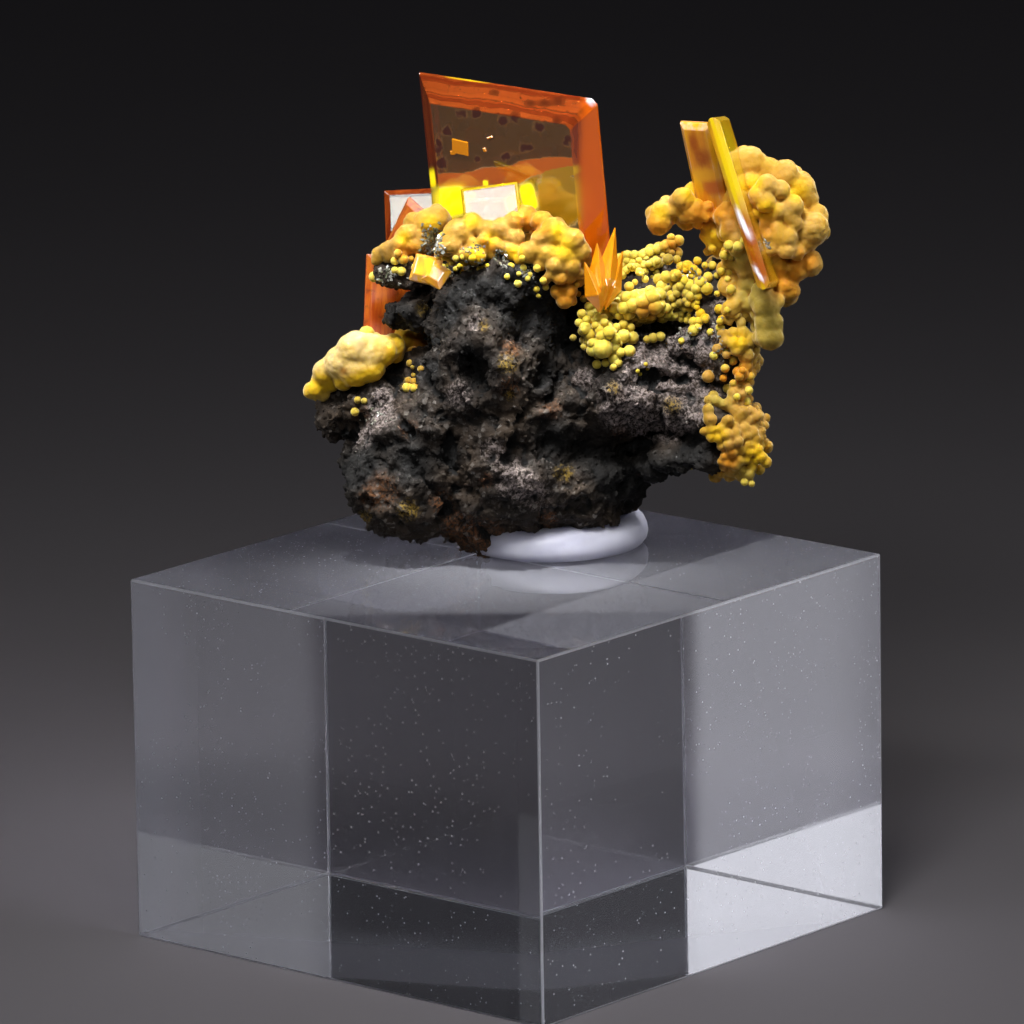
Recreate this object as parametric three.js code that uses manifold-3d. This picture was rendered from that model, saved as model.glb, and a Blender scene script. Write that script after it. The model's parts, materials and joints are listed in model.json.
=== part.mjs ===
// A wulfenite specimen on its display block.
//
// Square, bevelled plates of wulfenite stand in a crust of botryoidal mimetite, on a broken piece of dark matrix rock.
// The rock sits in a pad of clear mounting putty on a polished acrylic block.
//
// Units are millimetres. The outer frame has its origin in the middle of the block's underside, with +Z up and X and Y
// along the block's sides. The specimen is modelled in its own frame, in which x runs to the right, y up and z towards
// a viewer who looks at its display side. Its group turns and tilts that frame onto the middle of the block's top.

import * as THREE from "three";
import { ConvexGeometry } from "three/addons/geometries/ConvexGeometry.js";
import { ImprovedNoise } from "three/addons/math/ImprovedNoise.js";
import { mergeVertices } from "three/addons/utils/BufferGeometryUtils.js";
import Module from "manifold-3d";

const wasm = await Module();
wasm.setup();

// ---------------------------------------------------------------- driving dimensions

const BLOCK_SIDE = 36;
const BLOCK_HEIGHT = 25;
const BLOCK_BEVEL = 0.3;

const DISPLAY_TURN = 40.56; // degrees about the block's upright axis
const DISPLAY_TILT = 13.75; // degrees by which the display side looks up
const DISPLAY_ROLL = -0.88; // degrees by which the specimen leans sideways

const SEAT_GAP = 0.15; // between a piece and the one that it grows or sits on
const ROCK_LIFT = 0.4; // from the block's top to the lowest point of the rock
const ROCK_SWELL = { size: 3.4, depth: 0.95 }; // broad hollows and swellings of the rock's surface
const ROCK_RIDGE = { size: 1.7, depth: 0.42 }; // sharp creases between them

const FINE_LUMP = 1.3; // lumps on the display side are drawn finely from this radius up
const COARSE_SWELL = 1.12; // by which a coarse lump's corners stand out past its radius
const LUMP_SINK = 0.05; // share of its radius by which a lump's middle lies under the surface that it stands on

const PUTTY = { radius: 6.4, height: 2.3, x: -1.4, y: 6.7 };

// Lobes that make up the rock: the centre, the half sizes, the lean in degrees and the number of cuts along an edge.
const ROCK_LOBES = [
  { at: [0, 9, -4], half: [9.2, 8, 7], lean: 0, fine: 3 }, // core
  { at: [-0.5, 14.6, 0], half: [5, 5.6, 4.8], lean: 8, fine: 3 }, // prow
  { at: [0, 18.4, 1.4], half: [3.6, 2.6, 2.6], lean: 12, fine: 2 }, // peak of the prow
  { at: [-6.2, 6.6, -3.6], half: [5.2, 4.6, 5.6], lean: -25, fine: 2 }, // left base
  { at: [4.4, 5.4, -3.8], half: [5, 3.5, 5.6], lean: 10, fine: 2 }, // right base
  { at: [-9, 11.4, -4.6], half: [4, 2, 3.4], lean: 28, fine: 1 }, // shelf
  { at: [-6.8, 20, -2], half: [2.3, 0.9, 1.8], lean: 8, fine: 1 }, // upper horn
  { at: [-6.7, 16.9, -1.8], half: [2.1, 0.9, 1.8], lean: -6, fine: 1 }, // lower horn
  { at: [8, 12, -2], half: [5.2, 3.8, 5.2], lean: -6, fine: 2 }, // shoulder
  { at: [13, 10.3, -0.8], half: [5.2, 2.9, 3.6], lean: -40, fine: 2 }, // arm
  { at: [14.4, 15.8, 0.2], half: [1.9, 5, 2.1], lean: 3, fine: 1 }, // neck
  { at: [5.2, 15.8, -1.8], half: [2.8, 3.4, 3.2], lean: 0, fine: 1 }, // gully between the prow and the shoulder
  { at: [16.6, 22, 1.8], half: [1.9, 2.8, 1.7], lean: 0, fine: 0 }, // core of the knob
  { at: [9, 17, -4.4], half: [5.2, 2.8, 2.8], lean: 8, fine: 1 }, // saddle
  { at: [-1.4, 18, -4.2], half: [5.8, 3, 4.6], lean: 0, fine: 1 }, // crest
  { at: [1, 11.5, -7.4], half: [8, 7, 4.2], lean: 0, fine: 2 }, // back
];

// Pits, clefts and undercuts in the rock's display side.
const ROCK_PITS = [
  { at: [-1.9, 13, 5], half: [1.1, 2, 1.6], lean: 24, fine: 0 },
  { at: [4.6, 12.2, 3.4], half: [2.4, 1.5, 2], lean: 35, fine: 0 },
  { at: [-3.4, 7.4, 3.4], half: [0.8, 3.4, 1.4], lean: 10, fine: 0 },
  { at: [8.8, 7, 2], half: [4, 1, 2.4], lean: 12, fine: 0 },
  { at: [-6.4, 14.6, 0], half: [2.6, 0.9, 2.4], lean: 14, fine: 0 },
];

// Mimetite patches. A bed hugs the rock, and lumps [x, y, radius] stand on what lies behind them as the viewer sees it.
// More lumps, strewn over the sides and the back of a bed, finish it all round.
const MIMETITE_PATCHES = {
  mimetite_knob: {
    beds: [
      { at: [17.3, 23.1, 2.2], half: [3.5, 4, 2.8], lean: 0, fine: 0, strewn: 7, lump: 1.2 },
      { at: [13.2, 24.1, 1.4], half: [2.6, 1.3, 1.6], lean: 8, fine: 0, strewn: 2, lump: 0.85 },
      { at: [17.5, 17.4, 2.2], half: [1.2, 2.8, 1.2], lean: 0, fine: 0, strewn: 0, lump: 0.75 },
      { at: [15.4, 18.4, 0.8], half: [1.8, 3, 2], lean: 0, fine: 0, strewn: 2, lump: 0.75 },
    ],
    lumps: [
      [16.4, 27.3, 0.95], [17.8, 26.8, 0.95], [19.1, 26, 1], [20.1, 24.8, 1.1], [17.5, 25, 1], [18.8, 24, 1],
      [20.8, 22.6, 1.05], [18.9, 22, 1], [20, 20.6, 1], [18.4, 20, 0.95], [19, 18.6, 0.95],
      [10.4, 23.8, 0.95], [12, 24.8, 1], [13.7, 25.4, 1], [16.4, 19.4, 0.85], [17.6, 17.6, 1],
      [17.6, 15.7, 1], [15.3, 17.6, 0.8], [15, 20.2, 0.75],
    ],
  },
  mimetite_horn: {
    beds: [{ at: [-6.4, 21.6, -1.6], half: [2.5, 1.1, 2], lean: 26, fine: 0, strewn: 2, lump: 0.75 }],
    lumps: [[-8.3, 21.1, 0.75], [-7.2, 22, 0.75], [-6.3, 23.1, 0.75], [-4.8, 23.4, 1.1]],
  },
  mimetite_crest: {
    beds: [
      { at: [-2, 21.4, 1.4], half: [3.6, 1.3, 2.3], lean: 0, fine: 0, strewn: 1, lump: 0.8 },
      { at: [3.5, 20.6, 1.8], half: [2.6, 2.1, 2.2], lean: -20, fine: 0, strewn: 2, lump: 0.85 },
    ],
    lumps: [
      [-3.9, 21.7, 0.8], [-2.6, 22.7, 1.1], [-1.1, 22.5, 0.9], [0.4, 22, 0.9], [-2, 21.2, 0.75], [3.3, 22.2, 1.25],
      [2.1, 20.9, 0.9], [4.6, 21.3, 1], [3.6, 20, 0.9], [5, 19.6, 0.75], [3.7, 18.4, 0.75],
    ],
  },
  mimetite_rim: {
    beds: [{ at: [9.3, 20.4, -4.2], half: [2.8, 0.9, 1.4], lean: 16, fine: 0, strewn: 1, lump: 0.65 }],
    lumps: [[7.5, 20.6, 0.6], [8.8, 21, 0.6], [10, 21.5, 0.65], [11.2, 21.9, 0.65], [9.8, 20.4, 0.6]],
  },
  mimetite_saddle: {
    beds: [
      { at: [9.2, 17.5, -0.6], half: [4.8, 1.5, 3.2], lean: 8, fine: 0, strewn: 1, lump: 0.65 },
      { at: [12.4, 18.6, 1], half: [1.6, 1.5, 1.4], lean: 0, fine: 0, strewn: 1, lump: 0.65 },
    ],
    lumps: [
      [8.2, 17.6, 0.7], [9.6, 17.9, 0.75], [11.8, 17, 0.7], [13.1, 17.7, 0.7], [11.5, 19.3, 0.7], [12.5, 20, 0.65],
      [12.9, 18.9, 0.65], [13.6, 20.6, 0.65],
    ],
  },
  mimetite_cluster: {
    beds: [{ at: [6.4, 15.3, 1.6], half: [2, 1.7, 1.6], lean: -20, fine: 0, strewn: 1, lump: 0.65 }],
    lumps: [[6, 14.6, 0.75], [7.4, 14.7, 0.7], [5.3, 16, 0.7], [6.7, 15.9, 0.7], [6.6, 13.8, 0.6]],
  },
  mimetite_upper_flank: {
    beds: [{ at: [15.5, 13.8, 0.6], half: [1.5, 2.5, 2.2], lean: 0, fine: 0, strewn: 2, lump: 0.7 }],
    lumps: [[14.5, 12.9, 0.7], [15.5, 15, 0.8], [16.2, 13.4, 0.75]],
  },
  mimetite_lower_flank: {
    beds: [{ at: [15.5, 8.6, 0.6], half: [2.2, 3.3, 2.7], lean: -10, fine: 0, strewn: 3, lump: 0.7 }],
    lumps: [
      [15.3, 11.2, 0.75], [14.2, 9.8, 0.7], [16.6, 9.8, 0.7], [15.3, 8.6, 0.75], [16.8, 7.9, 0.7], [14.7, 7.2, 0.7],
      [15.9, 6.4, 0.75],
    ],
  },
  mimetite_shelf: {
    beds: [
      { at: [-9.6, 13.9, -4.9], half: [3.3, 1.4, 2.7], lean: 20, fine: 0, strewn: 2, lump: 0.85 },
      { at: [-12.3, 12.2, -4.6], half: [1.2, 0.9, 1.6], lean: 40, fine: 0, strewn: 1, lump: 0.65 },
    ],
    lumps: [
      [-11, 13.7, 1.35], [-9.6, 14.1, 1.75], [-8.1, 14.6, 1.1], [-6.9, 15.1, 0.85], [-6, 15.1, 0.75],
      [-12.3, 12.9, 0.9], [-13, 11.8, 0.65],
    ],
  },
};

// Wulfenite plates: the middle, the way their width and height run, the size over the girdle, the thickness, how far
// the square faces stand in from the girdle, and the share of the thickness that the upright rim takes.
const WULFENITE_PLATES = {
  wulfenite_main_plate: {
    at: [1, 25.9, -0.8], across: [11.97, -2.1, 6.4], up: [-1.35, 9.66, 5.68],
    width: 13.7, height: 15, thick: 2.8, inset: 1.45, rim: 0.06,
  },
  wulfenite_rear_plate: {
    at: [-3.2, 21.4, -8.4], across: [10, 0.45, 0.4], up: [-0.4, 10, -1.2],
    width: 10, height: 9, thick: 0.9, inset: 0.35, rim: 0.25,
  },
  wulfenite_front_plate: {
    at: [-0.9, 23.4, 1.9], across: [10, 0.7, 1.2], up: [-0.5, 10, -1.2],
    width: 3.9, height: 4.6, thick: 0.4, inset: 0.14, rim: 0.3,
  },
  wulfenite_left_plate: {
    at: [-7.3, 17.8, -5.8], across: [10, -0.5, -3], up: [0.5, 10, -0.4],
    width: 4.9, height: 6.6, thick: 0.8, inset: 0.35, rim: 0.25,
  },
  wulfenite_peak: {
    at: [-6.1, 22, -5.2], across: [7.3, -6.85, 5.7], up: [4.47, 8.94, 5],
    width: 4.4, height: 4.5, thick: 0.9, inset: 0.35, rim: 0.25,
  },
  wulfenite_short_blade: {
    at: [13.1, 26.8, 3], across: [10, -0.7, 5.4], up: [-2.2, 10, 5.4],
    width: 2.2, height: 7, thick: 0.9, inset: 0.35, rim: 0.3,
  },
  wulfenite_long_blade: {
    at: [15.9, 24.4, 4.8], across: [2, 0.6, -10], up: [-3.1, 10, 0],
    width: 4.4, height: 12, thick: 0.9, inset: 0.3, rim: 0.35,
  },
};

// Small plates that grow together into a chip, as the plates above.
const CHIP_PLATES = [
  {
    at: [-5.4, 20, 1.3], across: [10, -2, 3], up: [1, 10, -3],
    width: 1.9, height: 1.9, thick: 1.2, inset: 0.35, rim: 0.3,
  },
  {
    at: [-4.7, 19.6, 1.7], across: [10, -6, 2], up: [4, 10, -2],
    width: 1.5, height: 1.5, thick: 1, inset: 0.35, rim: 0.3,
  },
];

// Four-sided spikes [foot, tip, radius] that grow together.
const SPRAY_SPIKES = [
  [[6.4, 17.4, 2.9], [7.35, 23, 3.1], 0.9],
  [[6.2, 17.3, 3.1], [6.1, 21.9, 4], 0.9],
  [[6.7, 17.4, 2.7], [7.9, 21.4, 2.5], 0.7],
  [[6.3, 17.2, 3.3], [5.2, 20.6, 4.6], 0.75],
];

const COLOURS = {
  acrylic: 0xbfc7d2,
  putty: 0xd9dbe4,
  rock: 0x2f2c30,
  mimetite: 0xd9b23c,
  wulfenite: 0xc9500f,
};

// ---------------------------------------------------------------- solids

const noise = new ImprovedNoise();
const UP = new THREE.Vector3(0, 0, 1);
const vector = ([x, y, z]) => new THREE.Vector3(x, y, z);
const radians = THREE.MathUtils.degToRad;

/** A closed geometry as a solid that can be joined and cut. */
function solidOf(geometry) {
  const bare = new THREE.BufferGeometry();
  bare.setAttribute("position", geometry.getAttribute("position"));
  bare.setIndex(geometry.index);
  const merged = mergeVertices(bare, 1e-4);
  return new wasm.Manifold(
    new wasm.Mesh({
      numProp: 3,
      vertProperties: new Float32Array(merged.attributes.position.array),
      triVerts: new Uint32Array(merged.index.array),
    }),
  );
}

/** A solid as a geometry with flat faces. */
function geometryOf(solid) {
  const { vertProperties, triVerts } = solid.getMesh();
  const geometry = new THREE.BufferGeometry();
  geometry.setAttribute("position", new THREE.BufferAttribute(new Float32Array(vertProperties), 3));
  geometry.setIndex(new THREE.BufferAttribute(new Uint32Array(triVerts), 1));
  return geometry;
}

/** All the solids joined into one. */
const joined = (solids) => solids.reduce((whole, solid) => whole.add(solid));

/** The largest of a solid's separate bodies. */
function largestBody(solid) {
  const bodies = solid.decompose();
  return bodies.reduce((best, body) => (body.volume() > best.volume() ? body : best));
}

/** A repeatable number from 0 to 1 for each whole number. */
function scatter(index) {
  const wave = Math.sin(index * 12.9898 + 4.1) * 43758.5453;
  return wave - Math.floor(wave);
}

/** The depth of the rock's relief at a point. */
function rockRelief(point) {
  const swell = point.clone().divideScalar(ROCK_SWELL.size);
  const ridge = point.clone().divideScalar(ROCK_RIDGE.size);
  const broad = noise.noise(swell.x + 3.1, swell.y, swell.z);
  const crease = 1 - 2 * Math.abs(noise.noise(ridge.x, ridge.y + 5.7, ridge.z));
  return ROCK_SWELL.depth * broad + ROCK_RIDGE.depth * (crease - 0.5);
}

/** An ellipsoid with a relief on it, grown outwards all round. */
function lobe({ at, half, lean, fine }, grow, relief) {
  const geometry = new THREE.IcosahedronGeometry(1, fine);
  const turn = new THREE.Quaternion().setFromAxisAngle(UP, radians(lean));
  const centre = vector(at);
  const size = vector(half);
  const vertices = geometry.getAttribute("position");
  const unit = new THREE.Vector3();
  for (let i = 0; i < vertices.count; i++) {
    unit.fromBufferAttribute(vertices, i);
    const outward = unit.clone().divide(size).normalize().applyQuaternion(turn);
    const point = unit.clone().multiply(size).applyQuaternion(turn).add(centre);
    point.addScaledVector(outward, relief(point) + grow);
    vertices.setXYZ(i, point.x, point.y, point.z);
  }
  geometry.deleteAttribute("normal");
  geometry.deleteAttribute("uv");
  return solidOf(mergeVertices(geometry, 1e-4));
}

const smooth = () => 0;

/** A lump of mimetite with 80 faces, or with 20 on a slightly larger radius. */
function lump(centre, radius, fine) {
  const reach = fine ? radius : radius * COARSE_SWELL;
  return lobe({ at: centre, half: [reach, reach, reach], lean: 0, fine: fine ? 1 : 0 }, 0, smooth);
}

// ---------------------------------------------------------------- the specimen's frame

const display = new THREE.Group();
display.position.z = BLOCK_HEIGHT;
display.rotation.z = radians(DISPLAY_TURN);

const specimen = new THREE.Group();
specimen.rotation.set(radians(90 - DISPLAY_TILT), 0, radians(DISPLAY_ROLL), "XYZ");
display.add(specimen);
display.updateMatrixWorld(true);

/** Everything under the level at which the rock is held above the block, in the specimen's frame. */
function groundBelow(grow) {
  const depth = 20;
  const ground = new THREE.BoxGeometry(80, 80, depth).toNonIndexed();
  ground.translate(0, 0, BLOCK_HEIGHT + ROCK_LIFT - grow - depth / 2);
  ground.deleteAttribute("normal");
  ground.deleteAttribute("uv");
  ground.applyMatrix4(specimen.matrixWorld.clone().invert());
  return solidOf(mergeVertices(ground, 1e-4));
}

// ---------------------------------------------------------------- matrix rock

/** The rock, grown outwards by the gap that its neighbours keep, or not at all. */
function rockSolid(grow) {
  const body = joined(ROCK_LOBES.map((spec) => lobe(spec, grow, rockRelief)));
  const pits = joined(ROCK_PITS.map((spec) => lobe(spec, -grow, rockRelief)));
  return largestBody(body.subtract(pits).subtract(groundBelow(grow)));
}

// ---------------------------------------------------------------- wulfenite

/** The rotation that lays x along the width and y along the height of a plate. */
function plateFacing({ across, up }) {
  const x = vector(across).normalize();
  const z = x.clone().cross(vector(up)).normalize();
  const y = z.clone().cross(x);
  return new THREE.Matrix4().makeBasis(x, y, z);
}

/** A tabular crystal: two square faces, a narrow upright rim and the bevels between them. */
function plate(spec, grow) {
  const { at, width, height, thick, inset, rim } = spec;
  const levels = [
    [thick / 2 + grow, inset],
    [(thick * rim) / 2 + grow, 0],
    [-(thick * rim) / 2 - grow, 0],
    [-thick / 2 - grow, inset],
  ];
  const corners = [];
  for (const [level, step] of levels) {
    const x = width / 2 - step + grow;
    const y = height / 2 - step + grow;
    for (const [i, j] of [[1, 1], [1, -1], [-1, -1], [-1, 1]]) corners.push(new THREE.Vector3(i * x, j * y, level));
  }
  const geometry = new ConvexGeometry(corners);
  geometry.deleteAttribute("normal");
  geometry.applyMatrix4(plateFacing(spec).setPosition(vector(at)));
  return solidOf(mergeVertices(geometry, 1e-4));
}

/** A four-sided spike, from a foot below its widest part to its tip. */
function spike([foot, tip, radius], grow) {
  const from = vector(foot);
  const axis = vector(tip).sub(from);
  const length = axis.length() + 2 * grow;
  axis.normalize();
  const side = new THREE.Vector3(0.3, 0.1, 1).cross(axis).normalize().multiplyScalar(radius + grow);
  const front = axis.clone().cross(side);
  const waist = from.clone().addScaledVector(axis, length * 0.35);
  const points = [
    from.clone().addScaledVector(axis, -grow - 0.4 * radius),
    from.clone().addScaledVector(axis, length - grow),
    waist.clone().add(side),
    waist.clone().sub(side),
    waist.clone().add(front),
    waist.clone().sub(front),
  ];
  const geometry = new ConvexGeometry(points);
  geometry.deleteAttribute("normal");
  return solidOf(mergeVertices(geometry, 1e-4));
}

// ---------------------------------------------------------------- mimetite

/** Finds the surface that a viewer sees at x, y, as its z. */
function surfaceFinder(solid) {
  const mesh = new THREE.Mesh(geometryOf(solid));
  const viewer = new THREE.Raycaster();
  const away = new THREE.Vector3(0, 0, -1);
  return (x, y) => {
    viewer.set(new THREE.Vector3(x, y, 50), away);
    const hit = viewer.intersectObject(mesh)[0];
    return hit ? hit.point.z : null;
  };
}

/** The z of the bed whose middle is nearest to x, y. */
function nearestBedDepth(beds, x, y) {
  const distance = ({ at }) => Math.hypot(at[0] - x, at[1] - y);
  return beds.reduce((best, bed) => (distance(bed) < distance(best) ? bed : best)).at[2];
}

/** Lumps over the sides and the back of a bed, in a spiral from its front to its far end. */
function strewnLumps({ at, half, lean, strewn, lump: radius }) {
  const turn = new THREE.Quaternion().setFromAxisAngle(UP, radians(lean));
  const frontmost = 0.2;
  const goldenAngle = Math.PI * (3 - Math.sqrt(5));
  const lumps = [];
  for (let i = 0; i < strewn; i++) {
    const z = frontmost - ((1 + frontmost) * (i + 0.5)) / strewn;
    const ring = Math.sqrt(1 - z * z);
    const place = new THREE.Vector3(ring * Math.cos(i * goldenAngle), ring * Math.sin(i * goldenAngle), z);
    place.multiply(vector(half)).applyQuaternion(turn).add(vector(at));
    lumps.push(lump(place.toArray(), radius * (0.75 + 0.35 * scatter(i)), false));
  }
  return lumps;
}

/** A patch of mimetite, cut clear of the rock and the crystals that it grows round. */
function patchSolid({ beds, lumps }, rock, neighbours) {
  const bedSolid = joined(beds.map((bed) => lobe(bed, 0, smooth)));
  const surfaceAt = surfaceFinder(bedSolid.add(rock));
  const seated = lumps.map(([x, y, radius]) => {
    const surface = surfaceAt(x, y) ?? nearestBedDepth(beds, x, y);
    return lump([x, y, surface - LUMP_SINK * radius], radius, radius >= FINE_LUMP);
  });
  const whole = joined([bedSolid, ...seated, ...beds.flatMap(strewnLumps)]);
  return largestBody(whole.subtract(neighbours));
}

// ---------------------------------------------------------------- putty and block

/** The pad of putty, in the outer frame, squeezed up round the foot of the rock. */
function puttySolid(grownRock) {
  const { radius, height, x, y } = PUTTY;
  const profile = [
    new THREE.Vector2(0, 0),
    new THREE.Vector2(radius * 0.92, 0),
    new THREE.Vector2(radius, height * 0.35),
    new THREE.Vector2(radius * 0.96, height * 0.75),
    new THREE.Vector2(radius * 0.8, height),
    new THREE.Vector2(0, height),
  ];
  const pad = new THREE.LatheGeometry(profile, 18);
  pad.rotateX(Math.PI / 2);
  pad.translate(x, y, BLOCK_HEIGHT + SEAT_GAP);
  pad.deleteAttribute("normal");
  pad.deleteAttribute("uv");
  const rock = geometryOf(grownRock);
  rock.applyMatrix4(specimen.matrixWorld);
  return largestBody(solidOf(mergeVertices(pad, 1e-4)).subtract(solidOf(rock)));
}

/** The acrylic block, with a fine bevel on every edge. */
function blockGeometry() {
  const side = BLOCK_SIDE / 2;
  const points = [];
  for (const i of [-1, 1]) {
    for (const j of [-1, 1]) {
      for (const [level, inner] of [[0, BLOCK_BEVEL], [BLOCK_HEIGHT, -BLOCK_BEVEL]]) {
        points.push(new THREE.Vector3(i * side, j * (side - BLOCK_BEVEL), level + inner));
        points.push(new THREE.Vector3(i * (side - BLOCK_BEVEL), j * side, level + inner));
        points.push(new THREE.Vector3(i * (side - BLOCK_BEVEL), j * (side - BLOCK_BEVEL), level));
      }
    }
  }
  return new ConvexGeometry(points);
}

// ---------------------------------------------------------------- the part

/** A named mesh with a plain material. */
function piece(name, geometry, colour, roughness) {
  geometry.computeVertexNormals();
  const material = new THREE.MeshStandardMaterial({ color: colour, roughness, metalness: 0 });
  const mesh = new THREE.Mesh(geometry, material);
  mesh.name = name;
  return mesh;
}

const rock = rockSolid(0);
const grownRock = rockSolid(SEAT_GAP);
specimen.add(piece("matrix_rock", geometryOf(rock), COLOURS.rock, 0.85));

const crystals = {
  ...Object.fromEntries(Object.entries(WULFENITE_PLATES).map(([name, spec]) => [name, (grow) => plate(spec, grow)])),
  wulfenite_spray: (grow) => joined(SPRAY_SPIKES.map((spec) => spike(spec, grow))),
  wulfenite_chip: (grow) => joined(CHIP_PLATES.map((spec) => plate(spec, grow))),
};

let neighbours = grownRock;
for (const [name, make] of Object.entries(crystals)) {
  specimen.add(piece(name, geometryOf(largestBody(make(0).subtract(neighbours))), COLOURS.wulfenite, 0.1));
  neighbours = neighbours.add(make(SEAT_GAP));
}

for (const [name, spec] of Object.entries(MIMETITE_PATCHES)) {
  const patch = patchSolid(spec, rock, neighbours);
  specimen.add(piece(name, geometryOf(patch), COLOURS.mimetite, 0.45));
  neighbours = neighbours.add(patch);
}

const part = new THREE.Group();
part.add(display);
part.add(piece("mounting_putty", geometryOf(puttySolid(grownRock)), COLOURS.putty, 0.3));
part.add(piece("display_block", blockGeometry(), COLOURS.acrylic, 0.05));

export default part;
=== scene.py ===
"""A wulfenite specimen on its display block, dressed round its fixed frame.

Orange wulfenite tablets and yellow mimetite crusts stand on a dark matrix rock, which sits in a pad of putty
on a clear acrylic block. Lengths are worked out in millimetres in the specimen's own frame, in which x runs to
the right, y up and z towards a viewer of the display side. A finished piece is then put in its place in metres.
"""

import json
import math

import bmesh
import bpy
import numpy as np
from mathutils import Euler, Matrix, Vector, noise
from mathutils.bvhtree import BVHTree

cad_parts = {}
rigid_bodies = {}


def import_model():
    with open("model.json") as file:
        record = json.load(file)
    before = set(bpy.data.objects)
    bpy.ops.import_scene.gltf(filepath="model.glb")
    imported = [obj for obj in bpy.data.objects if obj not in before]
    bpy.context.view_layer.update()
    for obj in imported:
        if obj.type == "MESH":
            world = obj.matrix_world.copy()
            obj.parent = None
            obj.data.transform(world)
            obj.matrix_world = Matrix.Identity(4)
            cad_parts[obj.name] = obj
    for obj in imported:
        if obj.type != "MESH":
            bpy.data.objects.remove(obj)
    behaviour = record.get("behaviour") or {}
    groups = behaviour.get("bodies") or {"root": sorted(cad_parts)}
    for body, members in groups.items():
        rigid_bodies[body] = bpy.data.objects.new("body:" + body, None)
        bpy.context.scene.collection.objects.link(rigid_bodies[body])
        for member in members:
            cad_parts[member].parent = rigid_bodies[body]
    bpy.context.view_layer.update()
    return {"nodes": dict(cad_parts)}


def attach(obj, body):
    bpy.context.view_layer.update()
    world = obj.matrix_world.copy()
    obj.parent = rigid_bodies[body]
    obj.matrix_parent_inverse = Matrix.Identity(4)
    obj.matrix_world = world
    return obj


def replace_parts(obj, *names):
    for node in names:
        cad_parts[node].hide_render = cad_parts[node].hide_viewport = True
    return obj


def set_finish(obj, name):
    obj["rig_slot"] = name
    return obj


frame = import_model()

bl_info = {
    "name": "Wulfenite specimen",
    "version": (1, 0, 0),
    "blender": (4, 5, 0),
    "location": "View3D > Sidebar > Specimen",
    "description": "Dresses a wulfenite specimen on its display block",
    "category": "Object",
}

MM = 0.001
FLOOR_GAP = 0.02  # air under the block
BODY = "root"

# ---------------------------------------------------------------- the specimen's frame

BLOCK_SIDE = 36.0
BLOCK_HEIGHT = 25.0
DISPLAY_TURN = math.radians(40.56)
DISPLAY_TILT = math.radians(13.75)
DISPLAY_ROLL = math.radians(-0.88)

OUTER_FRAME = Matrix.Scale(MM, 4)
SPECIMEN_TURN = (
    Matrix.Rotation(DISPLAY_TURN, 4, "Z")
    @ Matrix.Rotation(math.pi / 2 - DISPLAY_TILT, 4, "X")
    @ Matrix.Rotation(DISPLAY_ROLL, 4, "Z")
)
SPECIMEN_FRAME = OUTER_FRAME @ Matrix.Translation((0.0, 0.0, BLOCK_HEIGHT)) @ SPECIMEN_TURN

# ---------------------------------------------------------------- shapes

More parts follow.
